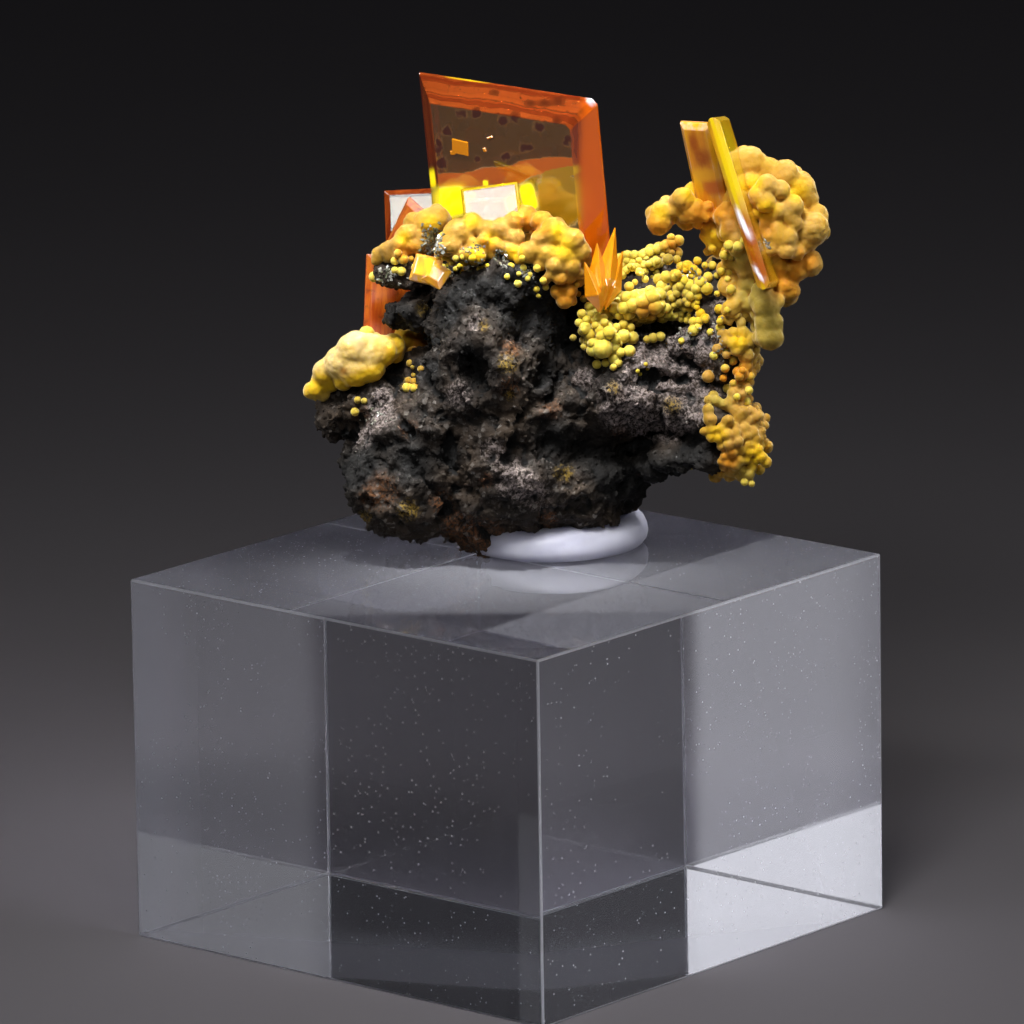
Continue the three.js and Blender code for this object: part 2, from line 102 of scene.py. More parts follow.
# Mimetite balls on the display side of each crust: x, y and radius.
BALLS = {
    "mimetite_knob": [
        (16.4, 27.15, 1.15), (17.5, 26.7, 0.85), (18.7, 26.3, 1.05), (19.75, 25.35, 1.15), (19.2, 24.2, 0.8),
        (20.6, 22.75, 1.15), (20.0, 21.8, 0.9), (20.4, 20.4, 0.95), (19.5, 19.9, 0.8), (18.8, 18.85, 0.7),
        (15.8, 26.3, 0.55), (16.5, 25.8, 0.7), (17.5, 25.6, 0.75), (18.4, 25.3, 0.65), (16.4, 24.7, 0.5),
        (17.4, 24.4, 0.7), (18.3, 23.8, 0.65), (19.2, 23.1, 0.7), (16.8, 23.7, 0.45), (17.5, 23.2, 0.5),
        (16.8, 22.9, 0.4), (18.3, 22.7, 0.6), (17.6, 22.2, 0.5), (18.9, 22.1, 0.65), (17.8, 21.4, 0.6),
        (18.8, 21.2, 0.6), (19.5, 21.1, 0.6), (17.2, 21.0, 0.45), (18.6, 20.2, 0.5), (17.9, 20.5, 0.4),
        (10.45, 23.85, 0.85), (10.3, 23.15, 0.88), (11.9, 24.75, 0.8), (12.75, 25.2, 0.85), (13.6, 24.9, 0.6),
        (11.4, 24.0, 0.45), (12.1, 24.15, 0.42), (12.9, 24.3, 0.45), (13.6, 24.2, 0.42), (14.2, 24.4, 0.42),
        (14.8, 24.2, 0.4), (12.0, 23.4, 0.36), (12.7, 23.5, 0.38), (13.4, 23.5, 0.36), (14.1, 23.6, 0.36),
        (14.7, 23.5, 0.34), (12.2, 22.9, 0.3), (12.9, 23.0, 0.32), (13.6, 22.9, 0.32), (15.6, 22.0, 0.5),
        (15.5, 21.4, 0.65), (14.9, 21.2, 0.5), (16.0, 20.7, 0.6), (16.1, 19.9, 0.6), (16.3, 19.0, 0.75),
        (17.2, 18.5, 0.75), (17.45, 17.5, 0.95), (17.65, 16.4, 1.0), (17.7, 15.45, 0.95), (16.4, 17.6, 0.55),
        (13.45, 22.25, 0.45), (14.1, 22.25, 0.45), (13.8, 21.75, 0.42), (13.6, 21.25, 0.34), (14.3, 21.2, 0.4),
        (15.4, 17.6, 0.35), (15.3, 18.3, 0.35), (17.3, 19.4, 0.5), (16.8, 19.9, 0.4),
    ],
    "mimetite_horn": [
        (-8.6, 21.1, 0.55), (-8.0, 21.4, 0.6), (-7.3, 21.7, 0.6), (-6.7, 22.4, 0.75), (-6.2, 23.2, 0.8),
        (-5.3, 23.2, 1.0), (-4.7, 23.4, 1.0), (-7.9, 20.9, 0.45), (-8.8, 20.7, 0.4), (-7.2, 21.0, 0.5),
        (-6.4, 21.7, 0.5), (-4.2, 22.5, 0.6), (-6.0, 22.4, 0.6),
    ],
    "mimetite_crest": [
        (-3.2, 22.4, 1.05), (-2.3, 23.0, 0.85), (-3.6, 21.6, 0.6), (-1.3, 22.6, 0.75), (-0.3, 22.75, 0.75),
        (0.5, 23.2, 0.7), (1.25, 23.45, 0.95), (2.4, 23.2, 0.8), (0.7, 22.1, 0.6), (1.5, 21.9, 0.6),
        (0.4, 21.2, 0.65), (1.5, 21.1, 0.75), (-3.2, 21.1, 0.5), (-2.5, 21.0, 0.5), (-1.8, 20.8, 0.45),
        (-0.7, 21.6, 0.5), (3.2, 22.45, 1.05), (2.4, 22.0, 0.75), (4.4, 21.9, 0.9), (5.0, 21.1, 0.75),
        (4.0, 20.9, 0.85), (2.8, 21.0, 0.7), (5.3, 20.5, 0.5), (3.2, 20.2, 0.55), (4.4, 20.1, 0.6),
        (2.3, 20.3, 0.45), (3.0, 19.6, 0.4), (2.6, 19.2, 0.35), (3.6, 19.3, 0.45), (4.3, 19.4, 0.4),
        (4.9, 19.7, 0.45), (3.5, 18.5, 0.55), (4.2, 18.5, 0.6), (3.9, 17.9, 0.6), (4.4, 17.9, 0.4), (0.9, 20.6, 0.4),
        (-4.3, 21.4, 0.5), (-1.6, 21.9, 0.4), (2.0, 22.7, 0.5), (3.7, 21.7, 0.5),
    ],
    "mimetite_rim": [
        (7.7, 20.9, 0.35), (8.2, 21.1, 0.35), (8.7, 21.1, 0.35), (9.2, 21.1, 0.35), (9.7, 21.3, 0.35),
        (10.2, 21.5, 0.38), (10.7, 21.7, 0.38), (11.2, 21.9, 0.4), (11.7, 22.1, 0.4), (11.2, 22.3, 0.3),
        (8.2, 20.7, 0.3), (9.0, 20.7, 0.25), (7.8, 20.4, 0.3),
    ],
    "mimetite_saddle": [
        (6.9, 17.9, 0.45), (7.3, 17.4, 0.45), (7.9, 17.4, 0.45), (8.1, 18.1, 0.45), (8.6, 18.2, 0.4),
        (8.5, 17.6, 0.55), (9.2, 17.8, 0.55), (9.8, 18.1, 0.6), (10.3, 18.3, 0.5), (9.7, 18.5, 0.45),
        (10.0, 17.5, 0.55), (9.2, 17.2, 0.5), (10.4, 17.6, 0.4), (7.6, 16.9, 0.3), (8.2, 16.9, 0.35),
        (10.3, 19.4, 0.4), (10.8, 19.5, 0.45), (10.5, 18.9, 0.4), (11.4, 19.6, 0.45), (11.7, 18.9, 0.32),
        (12.0, 19.2, 0.36), (11.8, 20.2, 0.36), (12.2, 20.2, 0.45), (12.6, 20.0, 0.36), (12.9, 20.6, 0.3),
        (12.9, 19.8, 0.3), (13.4, 20.3, 0.25), (13.9, 20.3, 0.3), (13.1, 19.1, 0.45), (13.6, 19.5, 0.36),
        (13.5, 18.7, 0.45), (12.8, 18.7, 0.36), (12.9, 18.2, 0.32), (12.4, 18.2, 0.36), (12.1, 17.9, 0.28),
        (11.5, 18.4, 0.3), (11.2, 18.1, 0.28), (11.3, 17.6, 0.22), (14.2, 18.4, 0.34), (13.9, 17.6, 0.36),
        (13.5, 17.4, 0.4), (13.1, 17.0, 0.38), (13.4, 16.7, 0.34), (13.0, 16.5, 0.34), (12.6, 16.5, 0.32),
        (12.2, 16.6, 0.26), (11.8, 16.7, 0.26), (11.4, 16.9, 0.25), (11.0, 17.0, 0.28), (10.8, 17.4, 0.34),
        (12.6, 15.9, 0.4), (12.9, 16.1, 0.28), (10.9, 20.7, 0.4), (11.5, 20.7, 0.3), (8.1, 20.0, 0.3),
        (9.4, 19.4, 0.26), (8.7, 19.2, 0.22), (8.3, 18.9, 0.35), (7.2, 18.4, 0.35), (6.5, 18.1, 0.4),
        (6.1, 18.5, 0.35), (7.4, 19.2, 0.4), (7.8, 19.7, 0.35), (7.6, 20.3, 0.35), (8.5, 20.2, 0.3),
        (9.0, 19.9, 0.3),
    ],
    "mimetite_cluster": [
        (5.1, 17.0, 0.34), (5.7, 17.0, 0.38), (6.2, 16.7, 0.36), (6.6, 16.4, 0.3), (5.4, 16.6, 0.32),
        (4.9, 16.4, 0.3), (5.3, 15.9, 0.36), (6.0, 16.2, 0.28), (7.4, 16.1, 0.3), (7.9, 16.3, 0.34),
        (8.4, 16.1, 0.3), (6.9, 15.7, 0.48), (6.4, 15.5, 0.4), (7.3, 15.3, 0.4), (7.9, 15.5, 0.5), (8.5, 15.4, 0.46),
        (5.8, 15.0, 0.36), (6.45, 14.7, 0.75), (7.2, 15.0, 0.3), (7.7, 14.4, 0.34), (8.3, 14.5, 0.42),
        (7.3, 14.0, 0.46), (7.5, 13.7, 0.34), (6.1, 13.6, 0.32), (6.7, 13.7, 0.3), (7.2, 13.4, 0.26),
        (5.6, 17.5, 0.34), (5.2, 14.8, 0.22), (4.5, 15.4, 0.24), (9.9, 15.4, 0.36), (10.4, 15.5, 0.34),
        (9.5, 15.3, 0.28),
    ],
    "mimetite_upper_flank": [
        (14.6, 15.6, 0.4), (14.8, 15.2, 0.46), (15.3, 15.7, 0.4), (15.9, 15.7, 0.5), (16.3, 15.2, 0.6),
        (15.8, 14.9, 0.55), (16.6, 14.6, 0.5), (16.9, 14.1, 0.32), (15.3, 15.0, 0.46), (15.5, 14.5, 0.4),
        (16.2, 14.2, 0.5), (14.2, 14.6, 0.36), (14.8, 14.2, 0.26), (15.3, 14.2, 0.3), (15.5, 13.6, 0.34),
        (15.6, 13.1, 0.34), (15.9, 13.0, 0.45), (16.2, 13.5, 0.4), (13.8, 13.3, 0.42), (13.0, 13.1, 0.32),
        (13.6, 12.8, 0.42), (14.8, 13.0, 0.42), (14.6, 12.7, 0.26), (15.5, 16.9, 0.34), (15.8, 16.4, 0.34),
        (14.5, 16.6, 0.3), (15.0, 16.5, 0.26), (16.3, 12.4, 0.36),
    ],
    "mimetite_lower_flank": [
        (13.9, 11.5, 0.36), (13.6, 11.2, 0.3), (14.2, 11.1, 0.36), (14.6, 10.9, 0.36), (15.0, 10.8, 0.4),
        (15.3, 11.6, 0.46), (15.4, 12.1, 0.36), (15.9, 11.6, 0.4), (16.1, 12.1, 0.36), (16.3, 11.3, 0.36),
        (15.4, 10.5, 0.42), (16.0, 10.4, 0.42), (15.6, 10.0, 0.36), (16.6, 10.4, 0.32), (16.9, 10.1, 0.34),
        (13.6, 10.5, 0.42), (13.7, 9.9, 0.46), (17.5, 10.0, 0.32), (17.4, 9.5, 0.34), (17.2, 9.1, 0.32),
        (17.6, 8.1, 0.32), (14.9, 9.8, 0.42), (15.3, 9.4, 0.38), (14.5, 9.3, 0.36), (13.8, 9.2, 0.36),
        (13.3, 9.1, 0.28), (13.8, 8.7, 0.36), (14.3, 8.7, 0.4), (14.8, 8.9, 0.4), (15.4, 8.9, 0.4),
        (16.0, 9.3, 0.38), (16.1, 8.8, 0.38), (16.6, 9.0, 0.42), (16.8, 8.6, 0.36), (16.2, 8.2, 0.36),
        (15.6, 8.4, 0.38), (15.0, 8.2, 0.38), (14.5, 8.1, 0.34), (15.2, 7.7, 0.4), (15.8, 7.9, 0.36),
        (16.3, 7.7, 0.36), (17.0, 7.9, 0.32), (17.2, 7.4, 0.38), (17.5, 7.0, 0.38), (16.8, 7.2, 0.38),
        (16.2, 7.2, 0.36), (15.7, 7.2, 0.36), (15.4, 6.8, 0.34), (16.6, 6.7, 0.38), (17.1, 6.5, 0.34),
        (16.4, 6.2, 0.34), (16.3, 5.8, 0.32), (15.9, 6.5, 0.3),
    ],
    "mimetite_shelf": [
        (-10.2, 14.6, 1.35), (-9.2, 14.4, 1.4), (-8.4, 14.6, 1.1), (-11.2, 13.8, 1.15), (-10.2, 13.3, 1.2),
        (-9.2, 13.4, 1.0), (-7.7, 14.9, 0.9), (-7.0, 15.4, 0.75), (-6.3, 15.4, 0.75), (-5.9, 15.0, 0.6),
        (-12.3, 13.2, 0.85), (-12.2, 12.7, 0.7), (-13.0, 12.0, 0.62), (-12.6, 12.4, 0.6), (-11.0, 12.6, 0.75),
    ],
}

# How each crust is made: how often its bed is eased and how far it is drawn in, how deep its balls sink, the
# radius and spacing of the balls strewn all over it, how often the whole is eased so that they melt into each
# other (or None, where each stays apart), and its finish.
CRUST_COLUMNS = ("ease", "inset", "sink", "radius", "spacing", "blend", "finish")
CRUSTS = {
    "mimetite_knob": (8, 0.1, 0.35, 0.7, 1.2, 8, "peach"),
    "mimetite_horn": (6, 0.15, 0.3, 0.5, 0.9, 6, "cream"),
    "mimetite_crest": (8, 0.15, 0.3, 0.5, 0.9, 6, "cream"),
    "mimetite_rim": (6, 0.25, 0.1, 0.32, 0.45, None, "lemon"),
    "mimetite_saddle": (8, 0.25, 0.1, 0.37, 0.56, None, "lemon"),
    "mimetite_cluster": (8, 0.25, 0.1, 0.37, 0.56, None, "lemon"),
    "mimetite_upper_flank": (8, 0.25, 0.15, 0.36, 0.56, 1, "cream"),
    "mimetite_lower_flank": (8, 0.2, 0.15, 0.38, 0.56, 1, "cream"),
    "mimetite_shelf": (3, 0.1, 0.8, 0.5, 1.0, 9, "beige"),
}
BED_VOXEL, CRUST_VOXEL = 0.24, 0.1
BED_REACH, ROCK_REACH = 0.35, 0.2  # how near bed or rock must be for a ball to stand on it
ROCK_STEP = 2.5  # how far in front of or behind its bed a ball still finds the rock
UNEVEN = 0.4  # how unevenly deep the balls sink, as a share of their radius
BALL_SPREAD, BALL_SINK = 0.28, 0.25  # of the balls strewn all over
BEAD_SIZE, BEAD_HEIGHT = 0.6, 0.07  # the small beads on mimetite that has grown together
BEAD_FALL, BEAD_LEAST = 1.6, -0.5  # how fast a bead falls off, and the lowest that it reaches

# Where mimetite turns another colour: x, y and the radius of each patch. The shade spots are painted shade, small dark
# spots in the crease colour.
TINTS_AND_SHADE_SPOTS = {
    "amber": [
        (-5.9, 15.2, 1.1), (-6.0, 14.0, 0.9), (-6.3, 13.0, 0.9), (10.1, 22.8, 0.9), (13.4, 23.6, 1.8),
        (15.9, 23.9, 0.9), (17.2, 22.9, 0.8), (18.9, 19.0, 1.3), (4.0, 18.4, 1.1), (9.4, 17.1, 0.9),
        (-6.8, 21.2, 0.8), (1.4, 23.4, 1.0), (2.4, 23.0, 0.7), (-1.2, 21.6, 0.6), (20.2, 20.6, 0.9),
        (15.8, 13.2, 0.9), (15.0, 7.2, 0.8), (-10.4, 12.1, 0.8), (-7.4, 14.2, 0.6), (14.6, 12.7, 0.6),
        (11.3, 21.6, 0.7),
    ],
    "olive": [
        (17.5, 16.2, 2.2), (16.4, 18.6, 1.0), (14.2, 11.2, 0.9), (9.4, 16.0, 1.0), (11.0, 20.6, 0.9),
        (7.4, 19.2, 0.8), (4.8, 15.2, 0.7), (16.5, 6.4, 1.0), (15.6, 20.6, 0.8), (11.8, 18.0, 0.7),
        (-9.6, 11.1, 1.0), (-6.4, 13.4, 0.9),
    ],
    "yellow": [
        (-5.1, 23.1, 0.7), (-2.3, 23.2, 0.5), (-6.9, 22.2, 0.5), (-1.0, 22.1, 0.5), (-2.0, 20.9, 0.8),
        (0.6, 21.0, 0.6), (3.8, 21.4, 0.9), (3.4, 22.6, 0.5), (10.4, 23.8, 0.6), (16.6, 25.7, 0.7),
        (17.4, 24.0, 0.8), (14.0, 22.0, 0.8), (-12.6, 12.5, 0.7), (-13.2, 11.8, 0.7), (-11.8, 12.2, 0.7),
        (-10.8, 12.2, 0.7), (-9.8, 12.5, 0.8), (-8.9, 12.8, 0.8), (-8.1, 13.4, 0.7), (-7.5, 14.2, 0.7),
        (-7.2, 15.6, 0.9), (13.4, 17.4, 1.2), (12.3, 20.0, 0.9), (19.6, 25.2, 0.8), (12.4, 25.2, 0.8),
        (16.8, 7.4, 0.9), (15.6, 15.2, 0.8), (14.2, 8.8, 0.7),
    ],
    # Painted shade: small dark spots in the crease colour.
    "shade_spots": [(-11.0, 13.2, 0.32), (17.2, 22.8, 0.5), (14.9, 22.7, 0.5), (12.0, 23.0, 0.5)],
}

# Wulfenite tablets, as in the frame: the middle, the way the width and the height run, the size over the girdle,
# how far the square faces stand in from it, the share of the thickness that the upright rim takes, and the
# finish. The largest has a corner clipped. Where colours lie in patches, the long edges are cut up for them.
TABLETS = {
    "wulfenite_main_plate": {
        "at": (0.73, 25.9, -0.8), "across": (11.97, -2.1, 6.4), "up": (-0.95, 9.7, 4.96),
        "width": 13.7, "height": 14.5, "thick": 2.8, "inset": 1.45, "rim": 0.06, "clip": 0.4, "cuts": 55,
        "finish": "window",
    },
    "wulfenite_rear_plate": {
        "at": (-3.2, 21.4, -8.4), "across": (10, 0.45, 0.4), "up": (-0.4, 10, -1.2),
        "width": 10, "height": 9, "thick": 0.9, "inset": 0.35, "rim": 0.25, "finish": "mirror",
    },
    "wulfenite_front_plate": {
        "at": (-0.9, 23.4, 1.9), "across": (10, 1.3, 1.2), "up": (-1.1, 10, -1.2),
        "width": 3.9, "height": 4.6, "thick": 0.4, "inset": 0.14, "rim": 0.3, "finish": "pane",
    },
    "wulfenite_left_plate": {
        "at": (-7.3, 17.8, -5.8), "across": (10, -0.5, -3), "up": (0.5, 10, -0.4),
        "width": 4.9, "height": 6.6, "thick": 0.8, "inset": 0.35, "rim": 0.25, "finish": "ember",
    },
    "wulfenite_peak": {
        "at": (-6.1, 22, -5.2), "across": (7.3, -6.85, 5.7), "up": (4.47, 8.94, 5),
        "width": 4.4, "height": 4.5, "thick": 0.9, "inset": 0.35, "rim": 0.25, "finish": "ember",
    },
    "wulfenite_short_blade": {
        "at": (13.42, 26.78, 3.17), "across": (10, -0.7, 5.4), "up": (-2.2, 10, 5.4),
        "width": 2.4, "height": 7, "thick": 0.9, "inset": 0.35, "rim": 0.3, "cuts": 30, "finish": "amber",
    },
    "wulfenite_long_blade": {
        "at": (15.9, 24.4, 4.8), "across": (2, 0.6, -10), "up": (-3.1, 10, 0),
        "width": 4.4, "height": 12, "thick": 0.9, "inset": 0.3, "rim": 0.35, "cuts": 40, "finish": "lemon",
    },
}

# Small crystals that keep the frame's shape and only get their edges eased.
CRYSTAL_GROUPS = {"wulfenite_spray": "gold", "wulfenite_chip": "amber"}

# Zones of the main plate and the blades, with patches of painted light among them: x, y, half width, half height and
# lean in degrees of each patch.
CRYSTAL_ZONES_AND_PAINTED_LIGHT = {
    "haze": [(-1.0, 29.4, 4.6, 2.7, -8), (3.6, 29.0, 3.4, 2.8, -10), (-3.8, 28.2, 1.8, 2.2, 0)],
    "orange": [
        (-3.4, 26.15, 1.9, 0.5, 0), (-0.4, 26.35, 1.9, 0.65, 0), (2.2, 26.9, 1.7, 0.6, 4), (4.3, 27.1, 0.9, 0.4, 0),
        (14.1, 25.5, 0.8, 0.5, 0),
    ],
    "gold": [
        (3.7, 26.5, 1.2, 0.3, 10), (3.5, 24.6, 1.5, 1.9, 4), (-2.6, 32.85, 1.4, 0.12, -9),
        (13.9, 28.2, 0.36, 1.1, 18), (13.3, 26.3, 1.0, 0.4, 0),
    ],
    "lemon": [
        (-3.8, 24.7, 1.15, 1.1, 6), (1.5, 24.9, 0.55, 1.0, 14), (-1.4, 25.9, 0.2, 0.2, 0), (-5.0, 26.3, 0.2, 0.6, 6),
        (15.0, 27.2, 0.7, 2.6, 15),
    ],
    "spots": [
        (16.3, 22.0, 0.7, 2.0, 17), (17.0, 19.8, 0.6, 1.2, 20), (-3.0, 30.5, 0.42, 0.36, 0),
        (-2.0, 30.5, 0.36, 0.4, 0), (-0.2, 30.0, 0.42, 0.36, 20), (0.6, 30.2, 0.36, 0.4, 0),
        (2.2, 29.5, 0.48, 0.34, -20), (1.3, 28.2, 0.5, 0.36, 0), (0.0, 27.6, 0.4, 0.32, 10),
        (3.4, 29.9, 0.3, 0.3, 0), (-4.0, 29.4, 0.32, 0.36, 0), (4.1, 28.6, 0.3, 0.42, 0), (-1.9, 27.5, 0.3, 0.26, 0),
        (1.6, 31.1, 0.4, 0.24, 0), (2.6, 31.1, 0.5, 0.26, 0), (3.5, 31.2, 0.4, 0.3, 0), (-0.8, 31.9, 0.3, 0.2, 0),
        (-4.6, 28.4, 0.3, 0.8, 0), (-4.4, 27.2, 0.5, 0.4, 0), (12.6, 28.4, 0.36, 0.8, 14),
        (13.2, 27.4, 0.55, 0.6, 0),
    ],
    # Painted light: the glow patches brighten the main plate's right bevel.
    "glow": [(5.9, 27.5, 1.0, 5.5, -3), (6.3, 22.0, 1.0, 4.0, -3)],
    # Painted glints: pale spots where light glints on the main plate's corner and the long blade.
    "painted_glint": [(5.72, 31.3, 0.3, 0.28, 0), (15.85, 22.95, 0.17, 1.15, 23), (16.88, 19.6, 0.13, 0.6, 29)],
}

# Flakes of wulfenite grown on the main plate's front face: x, y, width, height and lean in degrees.
FLAKES = [
    (-3.1, 28.3, 1.25, 1.05, -4), (-3.6, 27.95, 0.4, 0.3, 12), (-1.45, 28.1, 0.25, 0.3, 20),
    (-1.1, 28.9, 0.5, 0.14, 24),
]
FLAKE_THICKNESS = 0.16

# Hollows (a depth below 0) and ridges of the rock's display side: x, y, half width, half height, lean in degrees
# and depth.
ROCK_FORMS = [
    (-2.3, 13.1, 0.8, 1.5, 10, -1.3), (-3.6, 7.6, 0.7, 2.6, 8, -1.3), (2.6, 16.4, 2.4, 2.0, -30, -1.5),
    (3.2, 13.2, 1.2, 2.2, -12, -1.3), (6.4, 8.2, 6.4, 1.2, 2, -1.6), (-4.9, 15.6, 0.7, 2.3, 4, -1.0),
    (-0.4, 13.2, 0.8, 2.6, 14, 0.8), (3.4, 10.8, 2.4, 0.6, 22, 0.6), (-3.2, 11.2, 0.9, 1.2, 0, 0.7),
    (-8.4, 10.2, 1.5, 1.2, 0, 0.5), (-5.0, 5.0, 0.4, 3.4, 36, -0.7), (0.8, 5.8, 2.2, 1.0, -15, 0.6),
    (-9.3, 5.8, 0.6, 1.6, -12, -0.5), (9.0, 11.3, 2.8, 0.8, -10, 0.7), (-0.3, 8.4, 0.5, 1.8, -16, 0.6),
    (10.6, 12.7, 2.2, 0.35, -6, -0.7), (11.0, 14.2, 2.2, 0.9, -14, 0.4), (4.4, 3.9, 2.4, 0.5, 10, -0.5),
    (-7.0, 12.8, 1.0, 1.0, 0, -0.9), (12.6, 8.6, 1.6, 0.7, -20, -0.6), (-7.4, 3.6, 1.6, 0.5, -10, 0.4),
]

# Broken facets of the rock, of three sizes: the width of a cell, its depth and a seed.
ROCK_FACETS = ((2.3, 0.34, 3), (0.95, 0.2, 5), (0.42, 0.1, 8))
FACET_TILT = 2.2
RIDGE_DEPTH, RIDGE_SCALE = 0.32, 0.55
GRAIN_DEPTH, GRAIN_SCALE = 0.13, 1.9

# Stains of the rock, and patches of painted shade where it lies in shadow: what they are, x, y and the radius of each.
ROCK_STAINS_AND_SHADE = {
    "rust": [
        (-9.6, 10.2, 0.7), (-6.6, 9.2, 0.8), (-8.6, 5.2, 1.6), (-3.4, 2.6, 1.2), (-1.4, 1.4, 2.0), (-1.3, 5.8, 0.6),
        (0.2, 12.0, 0.9), (0.3, 14.6, 0.8), (3.0, 10.5, 1.0), (7.7, 9.2, 0.8), (2.8, 3.2, 0.8), (9.4, 3.4, 0.9),
        (-4.4, 4.4, 0.9), (7.6, 11.5, 0.7), (12.2, 14.2, 0.6),
    ],
    "pale": [
        (11.0, 14.4, 2.2), (9.0, 14.6, 1.3), (13.4, 15.6, 1.0), (11.3, 11.2, 1.4), (9.4, 10.8, 1.5),
        (7.6, 11.4, 1.3), (5.2, 12.6, 1.0), (12.4, 10.0, 0.9), (8.9, 13.0, 1.0), (12.2, 12.4, 1.2),
        (-3.2, 11.6, 1.1), (-8.5, 10.2, 1.2), (-8.4, 11.6, 0.9), (0.4, 5.9, 1.5), (14.6, 17.4, 1.0),
        (12.0, 17.3, 0.7), (-2.0, 16.4, 0.7), (-0.9, 7.8, 1.0), (-9.8, 8.6, 0.9), (2.0, 4.8, 1.2), (10.2, 11.6, 2.0),
        (12.4, 13.6, 1.8), (13.2, 11.4, 1.3), (13.6, 14.6, 1.2), (7.4, 10.4, 1.4), (9.4, 9.8, 1.5), (11.2, 9.4, 1.3),
    ],
    "ochre": [
        (0.1, 13.6, 0.8), (0.2, 11.5, 0.5), (-9.6, 3.3, 0.6), (-6.6, 3.8, 0.9), (3.9, 6.4, 0.8), (-5.6, 17.4, 0.6),
        (11.2, 10.8, 0.8), (7.2, 12.0, 0.6), (-6.9, 12.4, 0.6), (-1.5, 16.2, 0.5),
    ],
    # Painted shade: near black patches where the rock lies in shadow.
    "shade": [
        (3.6, 15.6, 1.8), (2.6, 12.6, 1.4), (3.0, 8.6, 2.0), (6.4, 7.4, 1.8), (9.8, 6.4, 1.8), (-3.7, 7.6, 1.0),
        (-2.1, 13.2, 1.0), (-5.2, 13.0, 1.2), (-6.2, 7.0, 2.0), (2.0, 18.0, 1.8), (12.6, 7.4, 1.5),
        (-7.2, 16.9, 1.6), (-2.8, 18.8, 1.1), (-0.8, 18.6, 1.6), (1.0, 19.0, 1.2), (0.6, 16.6, 1.2),
        (-4.0, 16.6, 0.8), (4.4, 16.8, 1.3), (-2.6, 14.0, 1.0), (-3.6, 17.6, 1.0), (7.4, 5.2, 1.6), (-9.6, 7.0, 1.4),
        (-10.6, 6.0, 1.2),
    ],
}

# Small balls strewn over rock and crusts: x, y, the spread across and up, how many, the least and largest radius.
SPRINKLES = [
    (5.4, 18.2, 0.6, 0.8, 8, 0.16, 0.26), (9.3, 13.4, 0.4, 0.5, 4, 0.14, 0.22), (11.7, 15.0, 0.3, 0.3, 1, 0.2, 0.24),
    (14.6, 19.4, 0.8, 1.0, 16, 0.22, 0.36), (9.6, 20.2, 1.6, 0.5, 16, 0.18, 0.3),
    (2.3, 18.8, 0.6, 0.5, 10, 0.18, 0.28), (-9.0, 19.5, 0.25, 0.5, 8, 0.28, 0.42),
    (-9.3, 18.0, 0.2, 0.35, 6, 0.3, 0.42), (-7.3, 19.9, 0.4, 0.2, 5, 0.24, 0.34),
    (-9.5, 11.2, 0.4, 0.4, 8, 0.2, 0.34), (-10.2, 10.5, 0.35, 0.25, 6, 0.2, 0.34),
    (-6.7, 12.4, 0.5, 0.45, 12, 0.2, 0.36), (-6.3, 13.6, 0.3, 0.6, 8, 0.16, 0.3),
    (6.7, 18.3, 0.5, 0.3, 8, 0.26, 0.36), (14.2, 16.2, 0.6, 1.2, 20, 0.2, 0.36),
    (12.4, 17.4, 0.8, 0.5, 14, 0.18, 0.3), (16.6, 5.4, 0.6, 0.5, 10, 0.2, 0.3),
    (-6.4, 20.6, 1.2, 0.6, 22, 0.18, 0.36), (-3.2, 20.4, 1.4, 0.5, 30, 0.16, 0.3),
    (0.9, 19.9, 0.8, 0.6, 14, 0.16, 0.3), (14.8, 21.6, 0.8, 1.0, 14, 0.24, 0.42),
    (15.6, 12.6, 1.0, 1.4, 20, 0.24, 0.4), (6.4, 17.2, 0.8, 0.6, 12, 0.2, 0.32),
]

# The same on the far side, where crusts go round the plates' feet.
FAR_SPRINKLES = [
    (2.0, 16.6, 4.0, 1.3, 90, 0.32, 0.68), (-4.6, 15.0, 3.4, 1.3, 70, 0.3, 0.62),
    (-8.6, 14.2, 1.6, 1.0, 24, 0.3, 0.5), (8.6, 16.4, 3.2, 1.2, 60, 0.24, 0.46),
    (12.8, 13.6, 2.2, 2.2, 50, 0.26, 0.48), (14.4, 9.2, 1.6, 2.4, 40, 0.26, 0.46),
    (-0.6, 12.6, 3.4, 1.2, 26, 0.22, 0.4), (5.4, 13.0, 2.4, 1.4, 22, 0.22, 0.4),
]

# Druse of tiny clear crystals in pockets of the crusts, given in the same way.
DRUSES = [
    (-5.0, 21.8, 0.5, 0.8, 420, 0.1, 0.19), (-8.1, 19.6, 0.9, 0.5, 60, 0.07, 0.2),
    (1.5, 19.8, 0.5, 0.4, 40, 0.07, 0.18), (-0.3, 20.9, 0.4, 0.5, 36, 0.07, 0.18),
    (-2.0, 21.4, 1.0, 0.3, 30, 0.05, 0.13), (-2.6, 20.2, 1.2, 0.4, 50, 0.06, 0.15),
    (12.2, 15.6, 0.8, 0.4, 30, 0.06, 0.14), (12.6, 19.6, 0.6, 0.5, 24, 0.06, 0.14),
    (17.4, 21.6, 0.3, 0.4, 16, 0.07, 0.16), (-8.6, 10.2, 0.8, 0.6, 30, 0.05, 0.12),
    (14.4, 15.0, 0.5, 1.2, 30, 0.06, 0.14),
]

# Lumps that fill the rock out: x, y and radius. Each sits just behind the front of the rock round it.
ROCK_LUMPS = [(12.1, 15.0, 1.1), (9.7, 7.0, 1.3), (10.9, 7.5, 1.25), (12.1, 7.4, 1.15), (13.2, 7.6, 1.1)]
LUMP_REACH, LUMP_SINK = 2.0, 1.2

SPECK = 12  # the most corners of a speck that comes loose when a skin is made

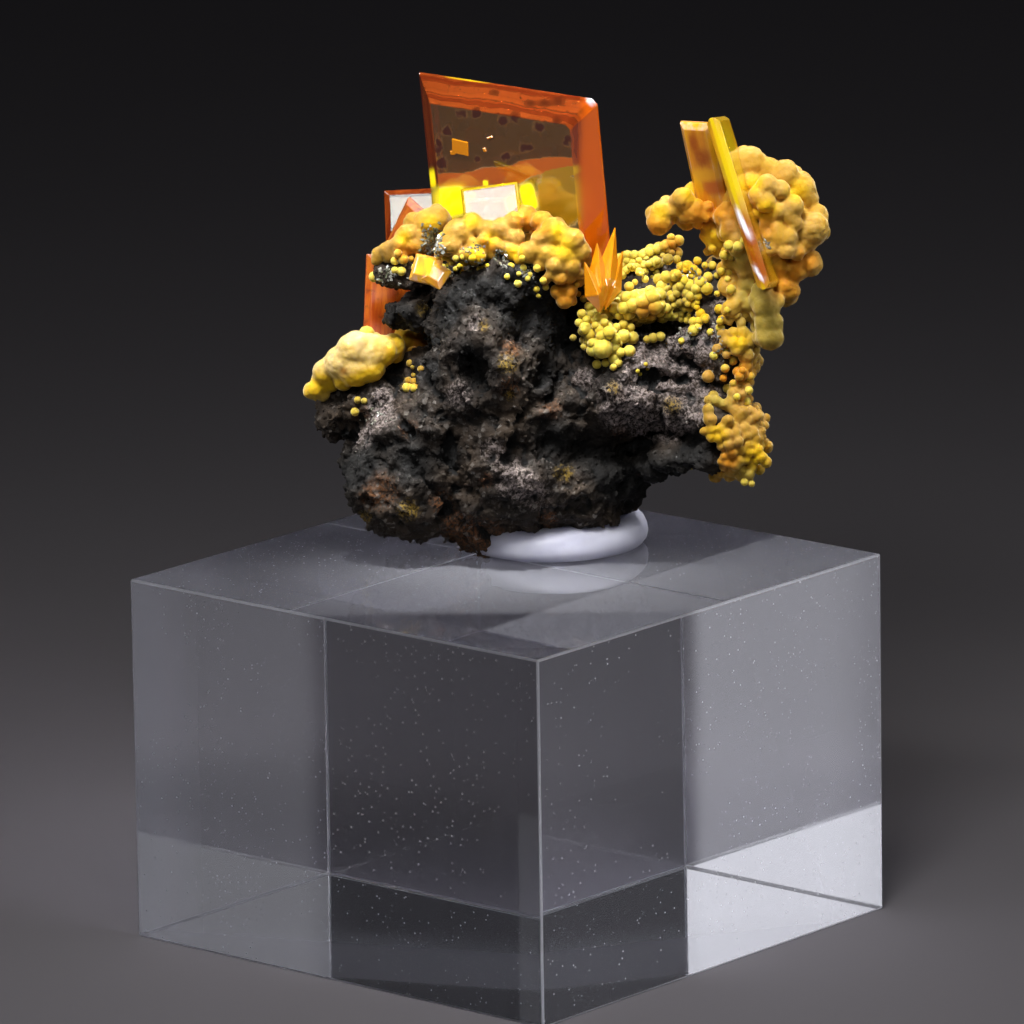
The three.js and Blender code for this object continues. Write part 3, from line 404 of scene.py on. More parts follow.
PAD_AT = (-1.4, 6.7)  # the middle of the putty on the block's top
PAD_GAP = 0.15
EASED_EDGE = 0.04  # on small crystals
FINE_BEVEL = 0.05  # on the tablets' edges, or less where a tablet is thin
LONG_EDGE = 0.5  # an edge that is cut up for patches of colour
SQUARE_FACE, UPRIGHT_FACE = 0.98, 0.2  # how flat a tablet's face lies at least, and its rim at most
ABOVE = 60.0  # the height from which small things are dropped on a surface
WULFENITE_IOR = 2.35
WINDOW_DEPTH = 700.0  # how strongly the main plate absorbs, per metre

# How the thin tablets look: how clear their faces and bevels are, how strong their veins and growth lines, how
# rough and how glossy they are, how they bend light, what colour depth gives them and how strongly per metre, and
# the settings that hold the colours of face, deeper face, bevel, deeper bevel and rim. The two plates that mirror
# a lamp bend light less than the rest, so that they don't outshine it.
LOOK_COLUMNS = ("clear", "edge_clear", "veins", "lines", "rough", "gloss", "ior", "tint", "depth", "tones")
LOOKS = {
    "mirror": (
        0.94, 0.3, 0.1, 0.02, 0.05, 0.5, 1.5, "#FFEFCB", 150.0,
        ("white_face", "white_face", "window_bevel", "window_bevel_deep", "window_bevel_deep"),
    ),
    "pane": (
        0.94, 0.6, 0.0, 0.02, 0.05, 0.5, 1.5, "#FFF3E7", 150.0,
        ("white_face", "white_face", "lemon_rim", "lemon_rim", "lemon_rim"),
    ),
    "ember": (
        0.15, 0.2, 0.7, 0.1, 0.36, 0.06, WULFENITE_IOR, "#FFBC59", 300.0,
        ("ember", "ember_light", "ember_light", "ember", "ember"),
    ),
    "amber": (
        0.15, 0.1, 0.1, 0.05, 0.14, 0.2, WULFENITE_IOR, "#FFDA7C", 250.0,
        ("amber", "amber_light", "amber_edge", "amber_light", "amber"),
    ),
    "gold": (
        0.2, 0.2, 0.1, 0.2, 0.2, 0.25, WULFENITE_IOR, "#FFDA59", 250.0,
        ("gold", "gold_light", "gold_light", "gold", "gold"),
    ),
    "lemon": (
        0.4, 0.3, 0.0, 0.08, 0.14, 0.3, WULFENITE_IOR, "#FFED95", 250.0,
        ("lemon_face", "amber_light", "lemon_edge", "lemon_face", "lemon_rim"),
    ),
}

# Lamps: what they aim at in the outer frame, the turn from the display side and the height in degrees, the
# distance, the width and height, the power in watts and the spread in degrees.
LAMPS = {
    "Softbox": ((0, 0, 42), -10, 29.5, 330, 100, 36, 0.031, 100),
    "Pool": ((14, -16, 0), -4, 58, 260, 150, 110, 0.0156, 60),
    "Overhead": ((0, 0, 25), 0, 86, 300, 14, 14, 0.0014, 5),
    "Left card": ((0, 0, 12), -81, 14, 280, 120, 60, 0.0185, 180),
    "Right card": ((0, 0, 12), 99, 14, 280, 120, 60, 0.0028, 180),
}

# The same for lamps that light only the minerals and the putty.
MINERAL_LAMPS = {
    "Top": ((0, 0, 42), -20, 66, 260, 70, 70, 0.125, 60),
    "Back": ((0, 0, 42), 170, 50, 260, 90, 70, 0.07, 60),
    "Left": ((0, 0, 42), -100, 25, 280, 70, 120, 0.04, 60),
    "Right": ((0, 0, 42), 90, 30, 280, 70, 120, 0.045, 60),
}

# The same for a lamp that lights only the block.
BLOCK_LAMPS = {"Haze": ((18, 8, 16), 36, 14, 260, 60, 60, 0.065, 60)}

# The same for a lamp that lights only the wulfenite.
CRYSTAL_LAMPS = {"Glow": ((0, 0, 45), 25, 6, 260, 90, 90, 0.05, 60)}

CAMERA_AT = (0.39, 3.662, 700.0)  # in the specimen's frame
CAMERA_LENS, CAMERA_SENSOR = 364.4, 36.0
ROOM_STRENGTH = 0.12

# Settings that many nodes share.
RGBA = {"data_type": "RGBA"}
RANDOM_VECTOR = {"data_type": "FLOAT_VECTOR"}
SMOOTH = {"interpolation_type": "SMOOTHSTEP"}
ADD = {"operation": "ADD"}
MULTIPLY = {"operation": "MULTIPLY"}
MULTIPLY_ADD = {"operation": "MULTIPLY_ADD"}
SCALE = {"operation": "SCALE"}

# ---------------------------------------------------------------- small tools


def linear(colour):
    """An sRGB hex colour, such as "#C8A040", as a linear red, green, blue and alpha."""
    channels = [int(colour[i : i + 2], 16) / 255 for i in (1, 3, 5)]
    return tuple(c / 12.92 if c <= 0.04045 else ((c + 0.055) / 1.055) ** 2.4 for c in channels) + (1.0,)


def add_node(tree, kind, settings=None, **inputs):
    """A node of that kind. Settings are its properties. An input is a value, an output socket, or a node whose
    first output is meant. Inputs that share a name are given by their place, as n0 and n1."""
    node = tree.nodes.new(kind)
    for name, value in (settings or {}).items():
        setattr(node, name, value)
    for name, value in inputs.items():
        wanted = name.replace("_", " ")
        place = int(name[1:]) if name[1:].isdigit() else None
        socket = next(s for i, s in enumerate(node.inputs) if i == place or (s.enabled and s.name.lower() == wanted))
        if isinstance(value, bpy.types.Node):
            value = next(s for s in value.outputs if s.enabled)
        if isinstance(value, bpy.types.NodeSocket):
            tree.links.new(value, socket)
        elif isinstance(value, str):
            socket.default_value = linear(value)
        elif socket.type == "RGBA" and len(value) == 3:
            socket.default_value = (*value, 1.0)
        else:
            socket.default_value = value
    return node


def new_material(name):
    """An empty material and its node tree."""
    material = bpy.data.materials.new(name)
    material.use_nodes = True
    material.node_tree.nodes.clear()
    return material, material.node_tree


def millimetres(tree):
    """Object coordinates in millimetres, along the outer frame."""
    place = add_node(tree, "ShaderNodeTexCoord").outputs["Object"]
    return add_node(tree, "ShaderNodeMapping", vector=place, scale=(1 / MM,) * 3)


def link_object(name, mesh):
    """An object at the origin that shows a mesh."""
    made = bpy.data.objects.new(name, mesh)
    bpy.context.scene.collection.objects.link(made)
    return made


def evaluated_mesh(made):
    """A plain mesh of what an object's modifiers give."""
    bpy.context.view_layer.update()
    depsgraph = bpy.context.evaluated_depsgraph_get()
    return bpy.data.meshes.new_from_object(made.evaluated_get(depsgraph), depsgraph=depsgraph)


def filled_array(owner, name, width=3, kind=float):
    """What a collection's foreach_get gives for a property, as rows."""
    flat = np.empty(len(owner) * width, dtype=kind)
    owner.foreach_get(name, flat)
    return flat.reshape(-1, width)


def vertex_array(mesh):
    """The vertices of a mesh as rows of x, y, z."""
    return filled_array(mesh.vertices, "co")


def normal_array(mesh):
    """The vertex normals of a mesh as rows of x, y, z."""
    return filled_array(mesh.vertex_normals, "vector")


def edge_array(mesh):
    """The two vertices of each edge of a mesh."""
    return filled_array(mesh.edges, "vertices", 2, np.int32)


def set_vertices(mesh, points):
    """Moves the vertices of a mesh."""
    mesh.vertices.foreach_set("co", np.asarray(points, dtype=np.float64).ravel())
    mesh.update()


def mesh_of(shell):
    """A mesh made of a bmesh, which is used up."""
    mesh = bpy.data.meshes.new("working")
    shell.to_mesh(mesh)
    shell.free()
    return mesh


def frame_copy(node):
    """A node's mesh in millimetres in the specimen's frame, with its loose triangles joined."""
    shell = bmesh.new()
    shell.from_mesh(frame["nodes"][node].data)
    shell.transform(SPECIMEN_FRAME.inverted())
    bmesh.ops.remove_doubles(shell, verts=shell.verts, dist=1e-3)
    return mesh_of(shell)


def voxel_skin(mesh, voxel):
    """One closed skin round everything in a mesh, which is used up."""
    worker = link_object("skin", mesh)
    remesh = worker.modifiers.new("Skin", "REMESH")
    remesh.mode = "VOXEL"
    remesh.voxel_size = voxel
    skin = evaluated_mesh(worker)
    bpy.data.objects.remove(worker)
    bpy.data.meshes.remove(mesh)
    return skin


def neighbour_mean(values, edges):
    """For each vertex, the mean of its neighbours' values."""
    total = np.zeros_like(values)
    count = np.zeros(len(values))
    for a, b in ((0, 1), (1, 0)):
        np.add.at(total, edges[:, a], values[edges[:, b]])
        np.add.at(count, edges[:, a], 1)
    return total / np.maximum(count, 1)[:, None]


def relax(mesh, steps, share=0.6):
    """Smooths a mesh by moving each vertex towards the mean of its neighbours."""
    points = vertex_array(mesh)
    edges = edge_array(mesh)
    for _ in range(steps):
        points += share * (neighbour_mean(points, edges) - points)
    set_vertices(mesh, points)


def drop_specks(mesh):
    """Deletes the parts of a mesh that are loose and hardly larger than a voxel."""
    a, b = edge_array(mesh).T
    label = np.arange(len(mesh.vertices))
    for _ in range(SPECK):
        np.minimum.at(label, a, label[b])
        np.minimum.at(label, b, label[a])
    # A speck has one label by now, and no edge leads from it to another.
    loose = np.bincount(label, minlength=len(label)) <= SPECK
    parted = label[a] != label[b]
    loose[label[a[parted]]] = loose[label[b[parted]]] = False
    shell = joined_shell([mesh])
    shell.verts.ensure_lookup_table()
    bmesh.ops.delete(shell, geom=[shell.verts[i] for i in np.flatnonzero(loose[label])], context="VERTS")
    shell.to_mesh(mesh)
    shell.free()


def store_share(mesh, name, values, domain="POINT"):
    """Stores a number for each vertex or face under a name that a material can read."""
    mesh.attributes.new(name, "FLOAT", domain).data.foreach_set("value", np.asarray(values, dtype=np.float32))


def store_places(mesh, name, places):
    """Stores a place for each vertex in the same way."""
    mesh.attributes.new(name, "FLOAT_VECTOR", "POINT").data.foreach_set("vector", places.ravel())


def store_hollows(mesh, reach, steps):
    """Stores how hollow the surface is round each vertex, from 0 on a crown to 1 in a crease, as "hollow"."""
    points = vertex_array(mesh)
    edges = edge_array(mesh)
    inward = np.sum((neighbour_mean(points, edges) - points) * normal_array(mesh), axis=1)[:, None]
    for _ in range(steps):
        inward = 0.4 * inward + 0.6 * neighbour_mean(inward, edges)
    store_share(mesh, "hollow", np.clip(0.5 + inward[:, 0] / reach, 0, 1))


def bell(points, x, y, width, height=None, lean=0.0, corners=1):
    """A share from 0 to 1 that falls off from x, y over a half width and a half height, turned by degrees. With
    more corners it fills more of its rectangle."""
    height = height or width
    cosine, sine = math.cos(math.radians(lean)), math.sin(math.radians(lean))
    along = ((points[:, 0] - x) * cosine + (points[:, 1] - y) * sine) / width
    across = ((points[:, 1] - y) * cosine - (points[:, 0] - x) * sine) / height
    return np.exp(-((np.abs(along) ** (2 * corners) + np.abs(across) ** (2 * corners)) ** 1.5))


def store_patches(mesh, kinds, corners=1):
    """Stores a share for each kind of patch."""
    points = vertex_array(mesh)
    for name, patches in kinds.items():
        share = sum(bell(points, *patch, corners=corners) for patch in patches)
        store_share(mesh, name, np.clip(share, 0, 1))


def joined_shell(meshes):
    """A bmesh of several meshes, which stay as they are."""
    whole = bmesh.new()
    for mesh in meshes:
        whole.from_mesh(mesh)
    return whole


def ease_edges(shell, edges, width, segments=1):
    """Bevels those edges of a bmesh."""
    bmesh.ops.bevel(shell, geom=edges, offset=width, segments=segments, affect="EDGES", profile=0.5)


def finish_piece(name, mesh, material, slot, placing=SPECIMEN_FRAME, smooth=True):
    """Puts a finished mesh in its place and on its body, under its name and with its material."""
    mesh.transform(placing)
    mesh.materials.clear()
    mesh.materials.append(material)
    mesh.polygons.foreach_set("use_smooth", [smooth] * len(mesh.polygons))
    mesh.update()
    mesh.name = name
    made = link_object(name, mesh)
    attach(made, BODY)
    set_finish(made, slot)
    return made


# ---------------------------------------------------------------- patterns worked out on points


def cell_numbers(cells, seed):
    """A whole number for each cell of a grid, scattered but always the same."""
    mixed = cells[:, 0] * 73856093 ^ cells[:, 1] * 19349663 ^ cells[:, 2] * 83492791 ^ (seed * 7919 + 101)
    mixed = (mixed ^ (mixed >> 13)) * 1274126177 & 0x7FFFFFFF
    return mixed ^ (mixed >> 16)


def scattered(numbers, turn):
    """A number from 0 to 1 for each whole number, another one for each turn."""
    mixed = (numbers * (2 * turn + 3) + turn * 40503) * 1103515245 + 12345 & 0x7FFFFFFF
    mixed = (mixed ^ (mixed >> 15)) * 668265263 & 0x7FFFFFFF
    return (mixed ^ (mixed >> 11)) / 0x7FFFFFFF


def nearest_cells(points, size, seed):
    """The nearest scattered centre to each point: the way to it in cells, and its number."""
    scaled = points / size
    base = np.floor(scaled).astype(np.int64)
    near = np.full(len(points), 9.0)
    away = np.zeros_like(scaled)
    numbers = np.zeros(len(points), dtype=np.int64)
    for step in np.ndindex(3, 3, 3):
        cells = base + np.array(step) - 1
        found = cell_numbers(cells, seed)
        gap = scaled - cells - np.stack([scattered(found, k) for k in range(3)], axis=1)
        distance = np.linalg.norm(gap, axis=1)
        closer = distance < near
        near = np.where(closer, distance, near)
        away[closer] = gap[closer]
        numbers = np.where(closer, found, numbers)
    return away, numbers


# ---------------------------------------------------------------- geometry node trees


def scatter_tree(name, subdivisions, turned):
    """A tree that strews balls or grains over a surface, by spacing, radius, spread, sink and seed."""
    tree = bpy.data.node_groups.new(name, "GeometryNodeTree")
    interface = tree.interface
    interface.new_socket("Geometry", in_out="INPUT", socket_type="NodeSocketGeometry")
    for label, default in (("Spacing", 1.0), ("Radius", 0.5), ("Spread", 0.3), ("Sink", 0.3)):
        interface.new_socket(label, in_out="INPUT", socket_type="NodeSocketFloat").default_value = default
    interface.new_socket("Seed", in_out="INPUT", socket_type="NodeSocketInt").default_value = 1
    interface.new_socket("Material", in_out="INPUT", socket_type="NodeSocketMaterial")
    interface.new_socket("Geometry", in_out="OUTPUT", socket_type="NodeSocketGeometry")

    given = add_node(tree, "NodeGroupInput").outputs
    points = add_node(
        tree, "GeometryNodeDistributePointsOnFaces", {"distribute_method": "POISSON"},
        mesh=given["Geometry"], distance_min=given["Spacing"], density_max=40.0, seed=given["Seed"],
    )
    low = add_node(tree, "ShaderNodeMath", {"operation": "SUBTRACT"}, n0=1.0, n1=given["Spread"])
    high = add_node(tree, "ShaderNodeMath", ADD, n0=1.0, n1=given["Spread"])
    swell = add_node(tree, "FunctionNodeRandomValue", {"data_type": "FLOAT"}, min=low, max=high, seed=given["Seed"])
    radius = add_node(tree, "ShaderNodeMath", MULTIPLY, n0=swell, n1=given["Radius"])
    depth = add_node(tree, "ShaderNodeMath", MULTIPLY, n0=radius, n1=given["Sink"])
    inward = add_node(tree, "ShaderNodeMath", MULTIPLY, n0=depth, n1=-1.0)
    offset = add_node(tree, "ShaderNodeVectorMath", SCALE, vector=points.outputs["Normal"], scale=inward)
    sunk = add_node(tree, "GeometryNodeSetPosition", geometry=points.outputs["Points"], offset=offset)
    ball = add_node(tree, "GeometryNodeMeshIcoSphere", radius=1.0, subdivisions=subdivisions)
    size, turn = radius, None
    if turned:
        stretch = add_node(tree, "FunctionNodeRandomValue", RANDOM_VECTOR, min=(0.55, 0.55, 0.55), max=(1.5, 1.3, 1.2))
        size = add_node(tree, "ShaderNodeVectorMath", SCALE, vector=stretch, scale=radius)
        turn = add_node(tree, "FunctionNodeRandomValue", RANDOM_VECTOR, min=(0.0,) * 3, max=(math.tau,) * 3)
    placed = add_node(tree, "GeometryNodeInstanceOnPoints", points=sunk, instance=ball.outputs["Mesh"], scale=size)
    if turn:
        tree.links.new(turn.outputs[0], placed.inputs["Rotation"])
    real = add_node(tree, "GeometryNodeRealizeInstances", geometry=placed)
    dressed = add_node(tree, "GeometryNodeSetMaterial", geometry=real, material=given["Material"])
    add_node(tree, "NodeGroupOutput", geometry=dressed)
    return tree


def strewn(mesh, tree, material, **sizes):
    """The mesh that a scatter tree makes on a surface, which stays as it is."""
    carrier = link_object("carrier", mesh)
    modifier = carrier.modifiers.new("Scatter", "NODES")
    modifier.node_group = tree
    named = {item.name: item.identifier for item in tree.interface.items_tree if item.in_out == "INPUT"}
    for name, value in sizes.items():
        modifier[named[name.capitalize()]] = value
    modifier[named["Material"]] = material
    result = evaluated_mesh(carrier)
    carrier.modifiers.remove(modifier)
    bpy.data.objects.remove(carrier)
    return result


# ---------------------------------------------------------------- materials


def laid_over(tree, colour, tint, share, low, high, most=1.0):
    """A colour under a tint that shows from a low share on, and fully, or at most so much, from a high share on."""
    edge = add_node(tree, "ShaderNodeMapRange", SMOOTH, value=share, from_min=low, from_max=high, to_max=most)
    return add_node(tree, "ShaderNodeMix", RGBA, factor=edge, a=colour, b=tint)


def mimetite_finish(tone, settings):
    """Mimetite, grown in balls."""
    # Waxy and translucent: light spreads under the skin, so crowns look soft. Its creases get a darker crease colour,
    # which is painted shade.
    # Real beads on it are about 0.1 mm wide. They are drawn 0.34 mm wide, and its grain 0.2 mm, so that they show.
    crown, middle, crease = (getattr(settings, tone + part) for part in ("", "_deep", "_crease"))
    material, tree = new_material(f"mimetite, {tone} balls")
    place = millimetres(tree)
    share = {
        kind: add_node(tree, "ShaderNodeAttribute", {"attribute_name": kind}).outputs["Fac"]
        for kind in ("hollow", *TINTS_AND_SHADE_SPOTS)
    }
    blotches = add_node(tree, "ShaderNodeTexNoise", vector=place, scale=1 / 1.8, detail=4.0, roughness=0.6)
    colour = laid_over(tree, crown, middle, blotches, low=0.36, high=0.64)
    for kind in TINTS_AND_SHADE_SPOTS:
        # Painted shade: the shade spots take the crease colour.
        tint = crease if kind == "shade_spots" else getattr(settings, kind)
        some = add_node(tree, "ShaderNodeMath", MULTIPLY, n0=share[kind], n1=0.95)
        colour = add_node(tree, "ShaderNodeMix", RGBA, factor=some, a=colour, b=tint)
    # Painted shade: the crease colour darkens the creases, and the feet of balls that stay apart.
    colour = laid_over(tree, colour, crease, share["hollow"], low=0.5, high=0.88)
    fine = add_node(tree, "ShaderNodeTexNoise", vector=place, scale=1 / 0.2, detail=3.0)
    rough = add_node(
        tree, "ShaderNodeMapRange", SMOOTH, value=fine, from_min=0.3, from_max=0.7, to_min=0.6, to_max=0.85
    )
    beads = add_node(tree, "ShaderNodeTexVoronoi", {"feature": "SMOOTH_F1"}, vector=place, scale=1 / 0.34)
    beaded = add_node(tree, "ShaderNodeBump", {"invert": True}, strength=0.55, distance=0.1 * MM, height=beads)
    bump = add_node(tree, "ShaderNodeBump", strength=0.6, distance=0.04 * MM, height=fine, normal=beaded)
    shader = add_node(
        tree, "ShaderNodeBsdfPrincipled", {"subsurface_method": "RANDOM_WALK"},
        base_color=colour, roughness=rough, specular_ior_level=0.3, normal=bump,
        subsurface_weight=0.5, subsurface_radius=(1.0, 0.85, 0.25), subsurface_scale=0.4 * MM,
        sheen_weight=0.7, sheen_roughness=0.35, sheen_tint="#F4E4B8",
    )
    add_node(tree, "ShaderNodeOutputMaterial", surface=shader)
    return material


def rock_finish(name, settings):
    """Iron-stained matrix, broken."""
    # Dull and dark with few glints: rusty where iron has seeped out, paler where it has weathered. Its real grains
    # are finer than 0.1 mm. They are drawn 0.2 to 0.3 mm wide, so that they show.
    material, tree = new_material(name)
    place = millimetres(tree)
    share = {
        kind: add_node(tree, "ShaderNodeAttribute", {"attribute_name": kind}).outputs["Fac"]
        for kind in ("hollow", *ROCK_STAINS_AND_SHADE)
    }
    broad = add_node(tree, "ShaderNodeTexNoise", vector=place, scale=1 / 4.0, detail=5.0)
    ragged = add_node(tree, "ShaderNodeTexNoise", vector=place, scale=1 / 0.7, detail=6.0, roughness=0.78)
    cells = add_node(tree, "ShaderNodeTexVoronoi", vector=place, scale=1 / 0.28)
    colour = laid_over(tree, settings.ground, settings.ground_light, broad, low=0.36, high=0.68)
    speckles = add_node(tree, "ShaderNodeTexNoise", vector=place, scale=1 / 0.22, detail=3.0, roughness=0.7)
    speckled = add_node(tree, "ShaderNodeMapRange", SMOOTH, value=speckles, from_min=0.42, from_max=0.6, to_min=0.3)
    torn = add_node(tree, "ShaderNodeMath", MULTIPLY, n0=ragged, n1=speckled)
    for kind in ("rust", "pale", "ochre"):
        worn = add_node(tree, "ShaderNodeMath", MULTIPLY, n0=share[kind], n1=torn)
        colour = laid_over(tree, colour, getattr(settings, kind), worn, low=0.1, high=0.5)
    fleck = add_node(tree, "ShaderNodeMapRange", SMOOTH, value=cells.outputs["Color"], from_min=0.72, from_max=0.98)
    some = add_node(tree, "ShaderNodeMath", MULTIPLY, n0=fleck, n1=ragged)
    colour = add_node(tree, "ShaderNodeMix", RGBA, factor=some, a=colour, b=settings.grain)
    # Painted shade: the rock darkens to near black in its hollows and creases.
    colour = laid_over(tree, colour, "#0A0908", share["hollow"], low=0.5, high=0.85)
    # Painted shade: the shade patches darken the rock to near black.
    shade = add_node(tree, "ShaderNodeMath", MULTIPLY, n0=share["shade"], n1=0.95)
    colour = add_node(tree, "ShaderNodeMix", RGBA, factor=shade, a=colour, b="#080706")
    rough = add_node(
        tree, "ShaderNodeMapRange", SMOOTH,
        value=cells.outputs["Color"], from_min=0.86, from_max=0.97, to_min=0.82, to_max=0.32,
    )
    fine = add_node(tree, "ShaderNodeTexNoise", vector=place, scale=1 / 0.3, detail=5.0, roughness=0.65)
    relief = add_node(tree, "ShaderNodeBump", strength=0.8, distance=0.06 * MM, height=cells)
    bump = add_node(tree, "ShaderNodeBump", strength=0.8, distance=0.06 * MM, height=fine, normal=relief)
    shader = add_node(
        tree, "ShaderNodeBsdfPrincipled", base_color=colour, roughness=rough, specular_ior_level=0.35, normal=bump
    )
    add_node(tree, "ShaderNodeOutputMaterial", surface=shader)
    return material


def druse_finish(name):
    """Cerussite, a druse of tiny crystals."""
    # Glassy and bright: most grains look grey and a few flash white.
    material, tree = new_material(name)
    patches = add_node(tree, "ShaderNodeTexNoise", vector=millimetres(tree), scale=1 / 0.8, detail=2.0)
    colour = laid_over(tree, "#5C5E48", "#B0AEA4", patches, low=0.36, high=0.64)
    shader = add_node(
        tree, "ShaderNodeBsdfPrincipled", base_color=colour, roughness=0.22, ior=1.9, transmission_weight=0.1
    )
    add_node(tree, "ShaderNodeOutputMaterial", surface=shader)
    return material


def window_finish(name, settings):
    """Wulfenite, a clear tablet with a smoky upper half."""
    # Adamantine: strong reflections over orange glass. Its bevels are cloudy and striped along the edges, and its
    # face has patches that are hazy, orange, golden or lemon, with dark red spots.
    material, tree = new_material(name)
    place = millimetres(tree)
    share = {
        kind: add_node(tree, "ShaderNodeAttribute", {"attribute_name": kind}).outputs["Fac"]
        for kind in ("facet", "inward", *CRYSTAL_ZONES_AND_PAINTED_LIGHT)
    }
    ragged = add_node(tree, "ShaderNodeTexNoise", vector=place, scale=1 / 0.9, detail=5.0, roughness=0.65)
    clouds = add_node(tree, "ShaderNodeTexNoise", vector=place, scale=1 / 2.6, detail=4.0)
    colour, clear = settings.window_clear, 0.97
    torn_fine = add_node(tree, "ShaderNodeTexNoise", vector=place, scale=1 / 0.4, detail=4.0, roughness=0.7)
    for kind, tint, clearness, tear, noise_share in (
        ("haze", settings.window_haze, 0.9, ragged, 0.6),
        ("orange", settings.window_band, 0.15, ragged, 0.8),
        ("gold", settings.window_gold, 0.45, torn_fine, 0.7),
        ("lemon", settings.window_lemon, 0.2, ragged, 0.3),
        ("spots", settings.vein, 0.3, torn_fine, 2.2),
    ):
        torn = add_node(tree, "ShaderNodeMath", MULTIPLY_ADD, n0=tear, n1=noise_share, n2=-noise_share / 2)
        some = add_node(tree, "ShaderNodeMath", ADD, n0=torn, n1=share[kind])
        edge = add_node(tree, "ShaderNodeMapRange", SMOOTH, value=some, from_min=0.3, from_max=0.75)
        colour = add_node(tree, "ShaderNodeMix", RGBA, factor=edge, a=colour, b=tint)
        clear = add_node(tree, "ShaderNodeMix", factor=edge, a=clear, b=clearness)
    wavy = add_node(tree, "ShaderNodeMath", MULTIPLY_ADD, n0=clouds, n1=0.5, n2=share["inward"])
    stripes = add_node(tree, "ShaderNodeTexNoise", {"noise_dimensions": "1D"}, w=wavy, scale=4.5, detail=3.0)
    bevel = laid_over(tree, settings.window_bevel, settings.window_bevel_deep, stripes, low=0.35, high=0.65)
    bevel = laid_over(tree, bevel, settings.vein, torn_fine, low=0.56, high=0.72, most=0.7)
    # Painted light: the right bevel is made brighter, standing in for light that comes through it.
    bevel = add_node(tree, "ShaderNodeMix", RGBA, factor=share["glow"], a=bevel, b=settings.window_bevel_glow)
    # Painted glints: the last of these patches lays a pale colour where light glints.
    for kind, tint in (("spots", "vein"), ("gold", "lemon_face"), ("lemon", "lemon_rim"), ("painted_glint", "painted_glint")):
        bevel = add_node(tree, "ShaderNodeMix", RGBA, factor=share[kind], a=bevel, b=getattr(settings, tint))
    zone = add_node(tree, "ShaderNodeMapRange", value=share["facet"], from_max=0.5)
    colour = add_node(tree, "ShaderNodeMix", RGBA, factor=zone, a=colour, b=bevel)
    clear = add_node(tree, "ShaderNodeMix", factor=zone, a=clear, b=0.1)
    # Painted glow: the yellow zones emit light, standing in for light that comes through them from behind.
    lit = add_node(tree, "ShaderNodeMix", RGBA, factor=share["lemon"], a="#000000", b=settings.window_lemon)
    bump = add_node(tree, "ShaderNodeBump", strength=0.06, distance=0.02 * MM, height=stripes)
    shader = add_node(
        tree, "ShaderNodeBsdfPrincipled",
        base_color=colour, roughness=0.05, ior=WULFENITE_IOR, transmission_weight=clear, normal=bump,
        emission_color=lit, emission_strength=0.8,
    )
    absorbed = add_node(tree, "ShaderNodeVolumeAbsorption", color=settings.window_tint, density=WINDOW_DEPTH)
    add_node(tree, "ShaderNodeOutputMaterial", surface=shader, volume=absorbed)
    return material


def tablet_finish(name, look, settings):
    """Wulfenite, a thin cloudy tablet."""
    # Adamantine and orange in depth. Growth lines run along it, and dark red veins cross it.
    face, face_deep, bevel, bevel_deep, rim = (getattr(settings, tone) for tone in look["tones"])
    material, tree = new_material(f"wulfenite, {name} tablet")
    place = millimetres(tree)
    grown = add_node(tree, "ShaderNodeAttribute", {"attribute_name": "grown"}).outputs["Vector"]
    facet = add_node(tree, "ShaderNodeAttribute", {"attribute_name": "facet"}).outputs["Fac"]
    along = add_node(tree, "ShaderNodeMapping", vector=grown, scale=(2.4, 0.3, 2.4))
    streaks = add_node(tree, "ShaderNodeTexNoise", vector=along, scale=1.0, detail=4.0, roughness=0.6)
    ragged = add_node(tree, "ShaderNodeTexNoise", vector=place, scale=1 / 0.8, detail=5.0, roughness=0.68)
    faces = laid_over(tree, face, face_deep, streaks, low=0.36, high=0.64)
    bevels = laid_over(tree, bevel, bevel_deep, streaks, low=0.36, high=0.64)
    on_bevel = add_node(tree, "ShaderNodeMapRange", value=facet, from_max=0.5)
    on_rim = add_node(tree, "ShaderNodeMapRange", value=facet, from_min=0.5)
    colour = add_node(tree, "ShaderNodeMix", RGBA, factor=on_bevel, a=faces, b=bevels)
    colour = add_node(tree, "ShaderNodeMix", RGBA, factor=on_rim, a=colour, b=rim)
    colour = laid_over(tree, colour, settings.vein, ragged, low=0.52, high=0.7, most=look["veins"])
    clear = add_node(tree, "ShaderNodeMix", factor=on_bevel, a=look["clear"], b=look["edge_clear"])
    for kind, tint in (
        ("orange", "ember_light"), ("gold", "amber_light"), ("lemon", "lemon_rim"), ("spots", "amber_deep"),
        ("painted_glint", "painted_glint"),
    ):
        share = add_node(tree, "ShaderNodeAttribute", {"attribute_name": kind}).outputs["Fac"]
        torn = add_node(tree, "ShaderNodeMath", MULTIPLY_ADD, n0=ragged, n1=0.8, n2=-0.4)
        some = add_node(tree, "ShaderNodeMath", MULTIPLY_ADD, n0=torn, n1=share, n2=share)
        colour = add_node(tree, "ShaderNodeMix", RGBA, factor=some, a=colour, b=getattr(settings, tint))
        # Painted glints: opaque and pale where they lie.
        if kind == "painted_glint":
            clear = add_node(tree, "ShaderNodeMix", factor=share, a=clear, b=0.0)
    bump = add_node(tree, "ShaderNodeBump", strength=look["lines"], distance=0.03 * MM, height=streaks)
    shader = add_node(
        tree, "ShaderNodeBsdfPrincipled",
        base_color=colour, roughness=look["rough"], ior=look["ior"], specular_ior_level=look["gloss"],
        transmission_weight=clear, normal=bump,
    )
    absorbed = add_node(tree, "ShaderNodeVolumeAbsorption", color=look["tint"], density=look["depth"])
    add_node(tree, "ShaderNodeOutputMaterial", surface=shader, volume=absorbed)
    return material


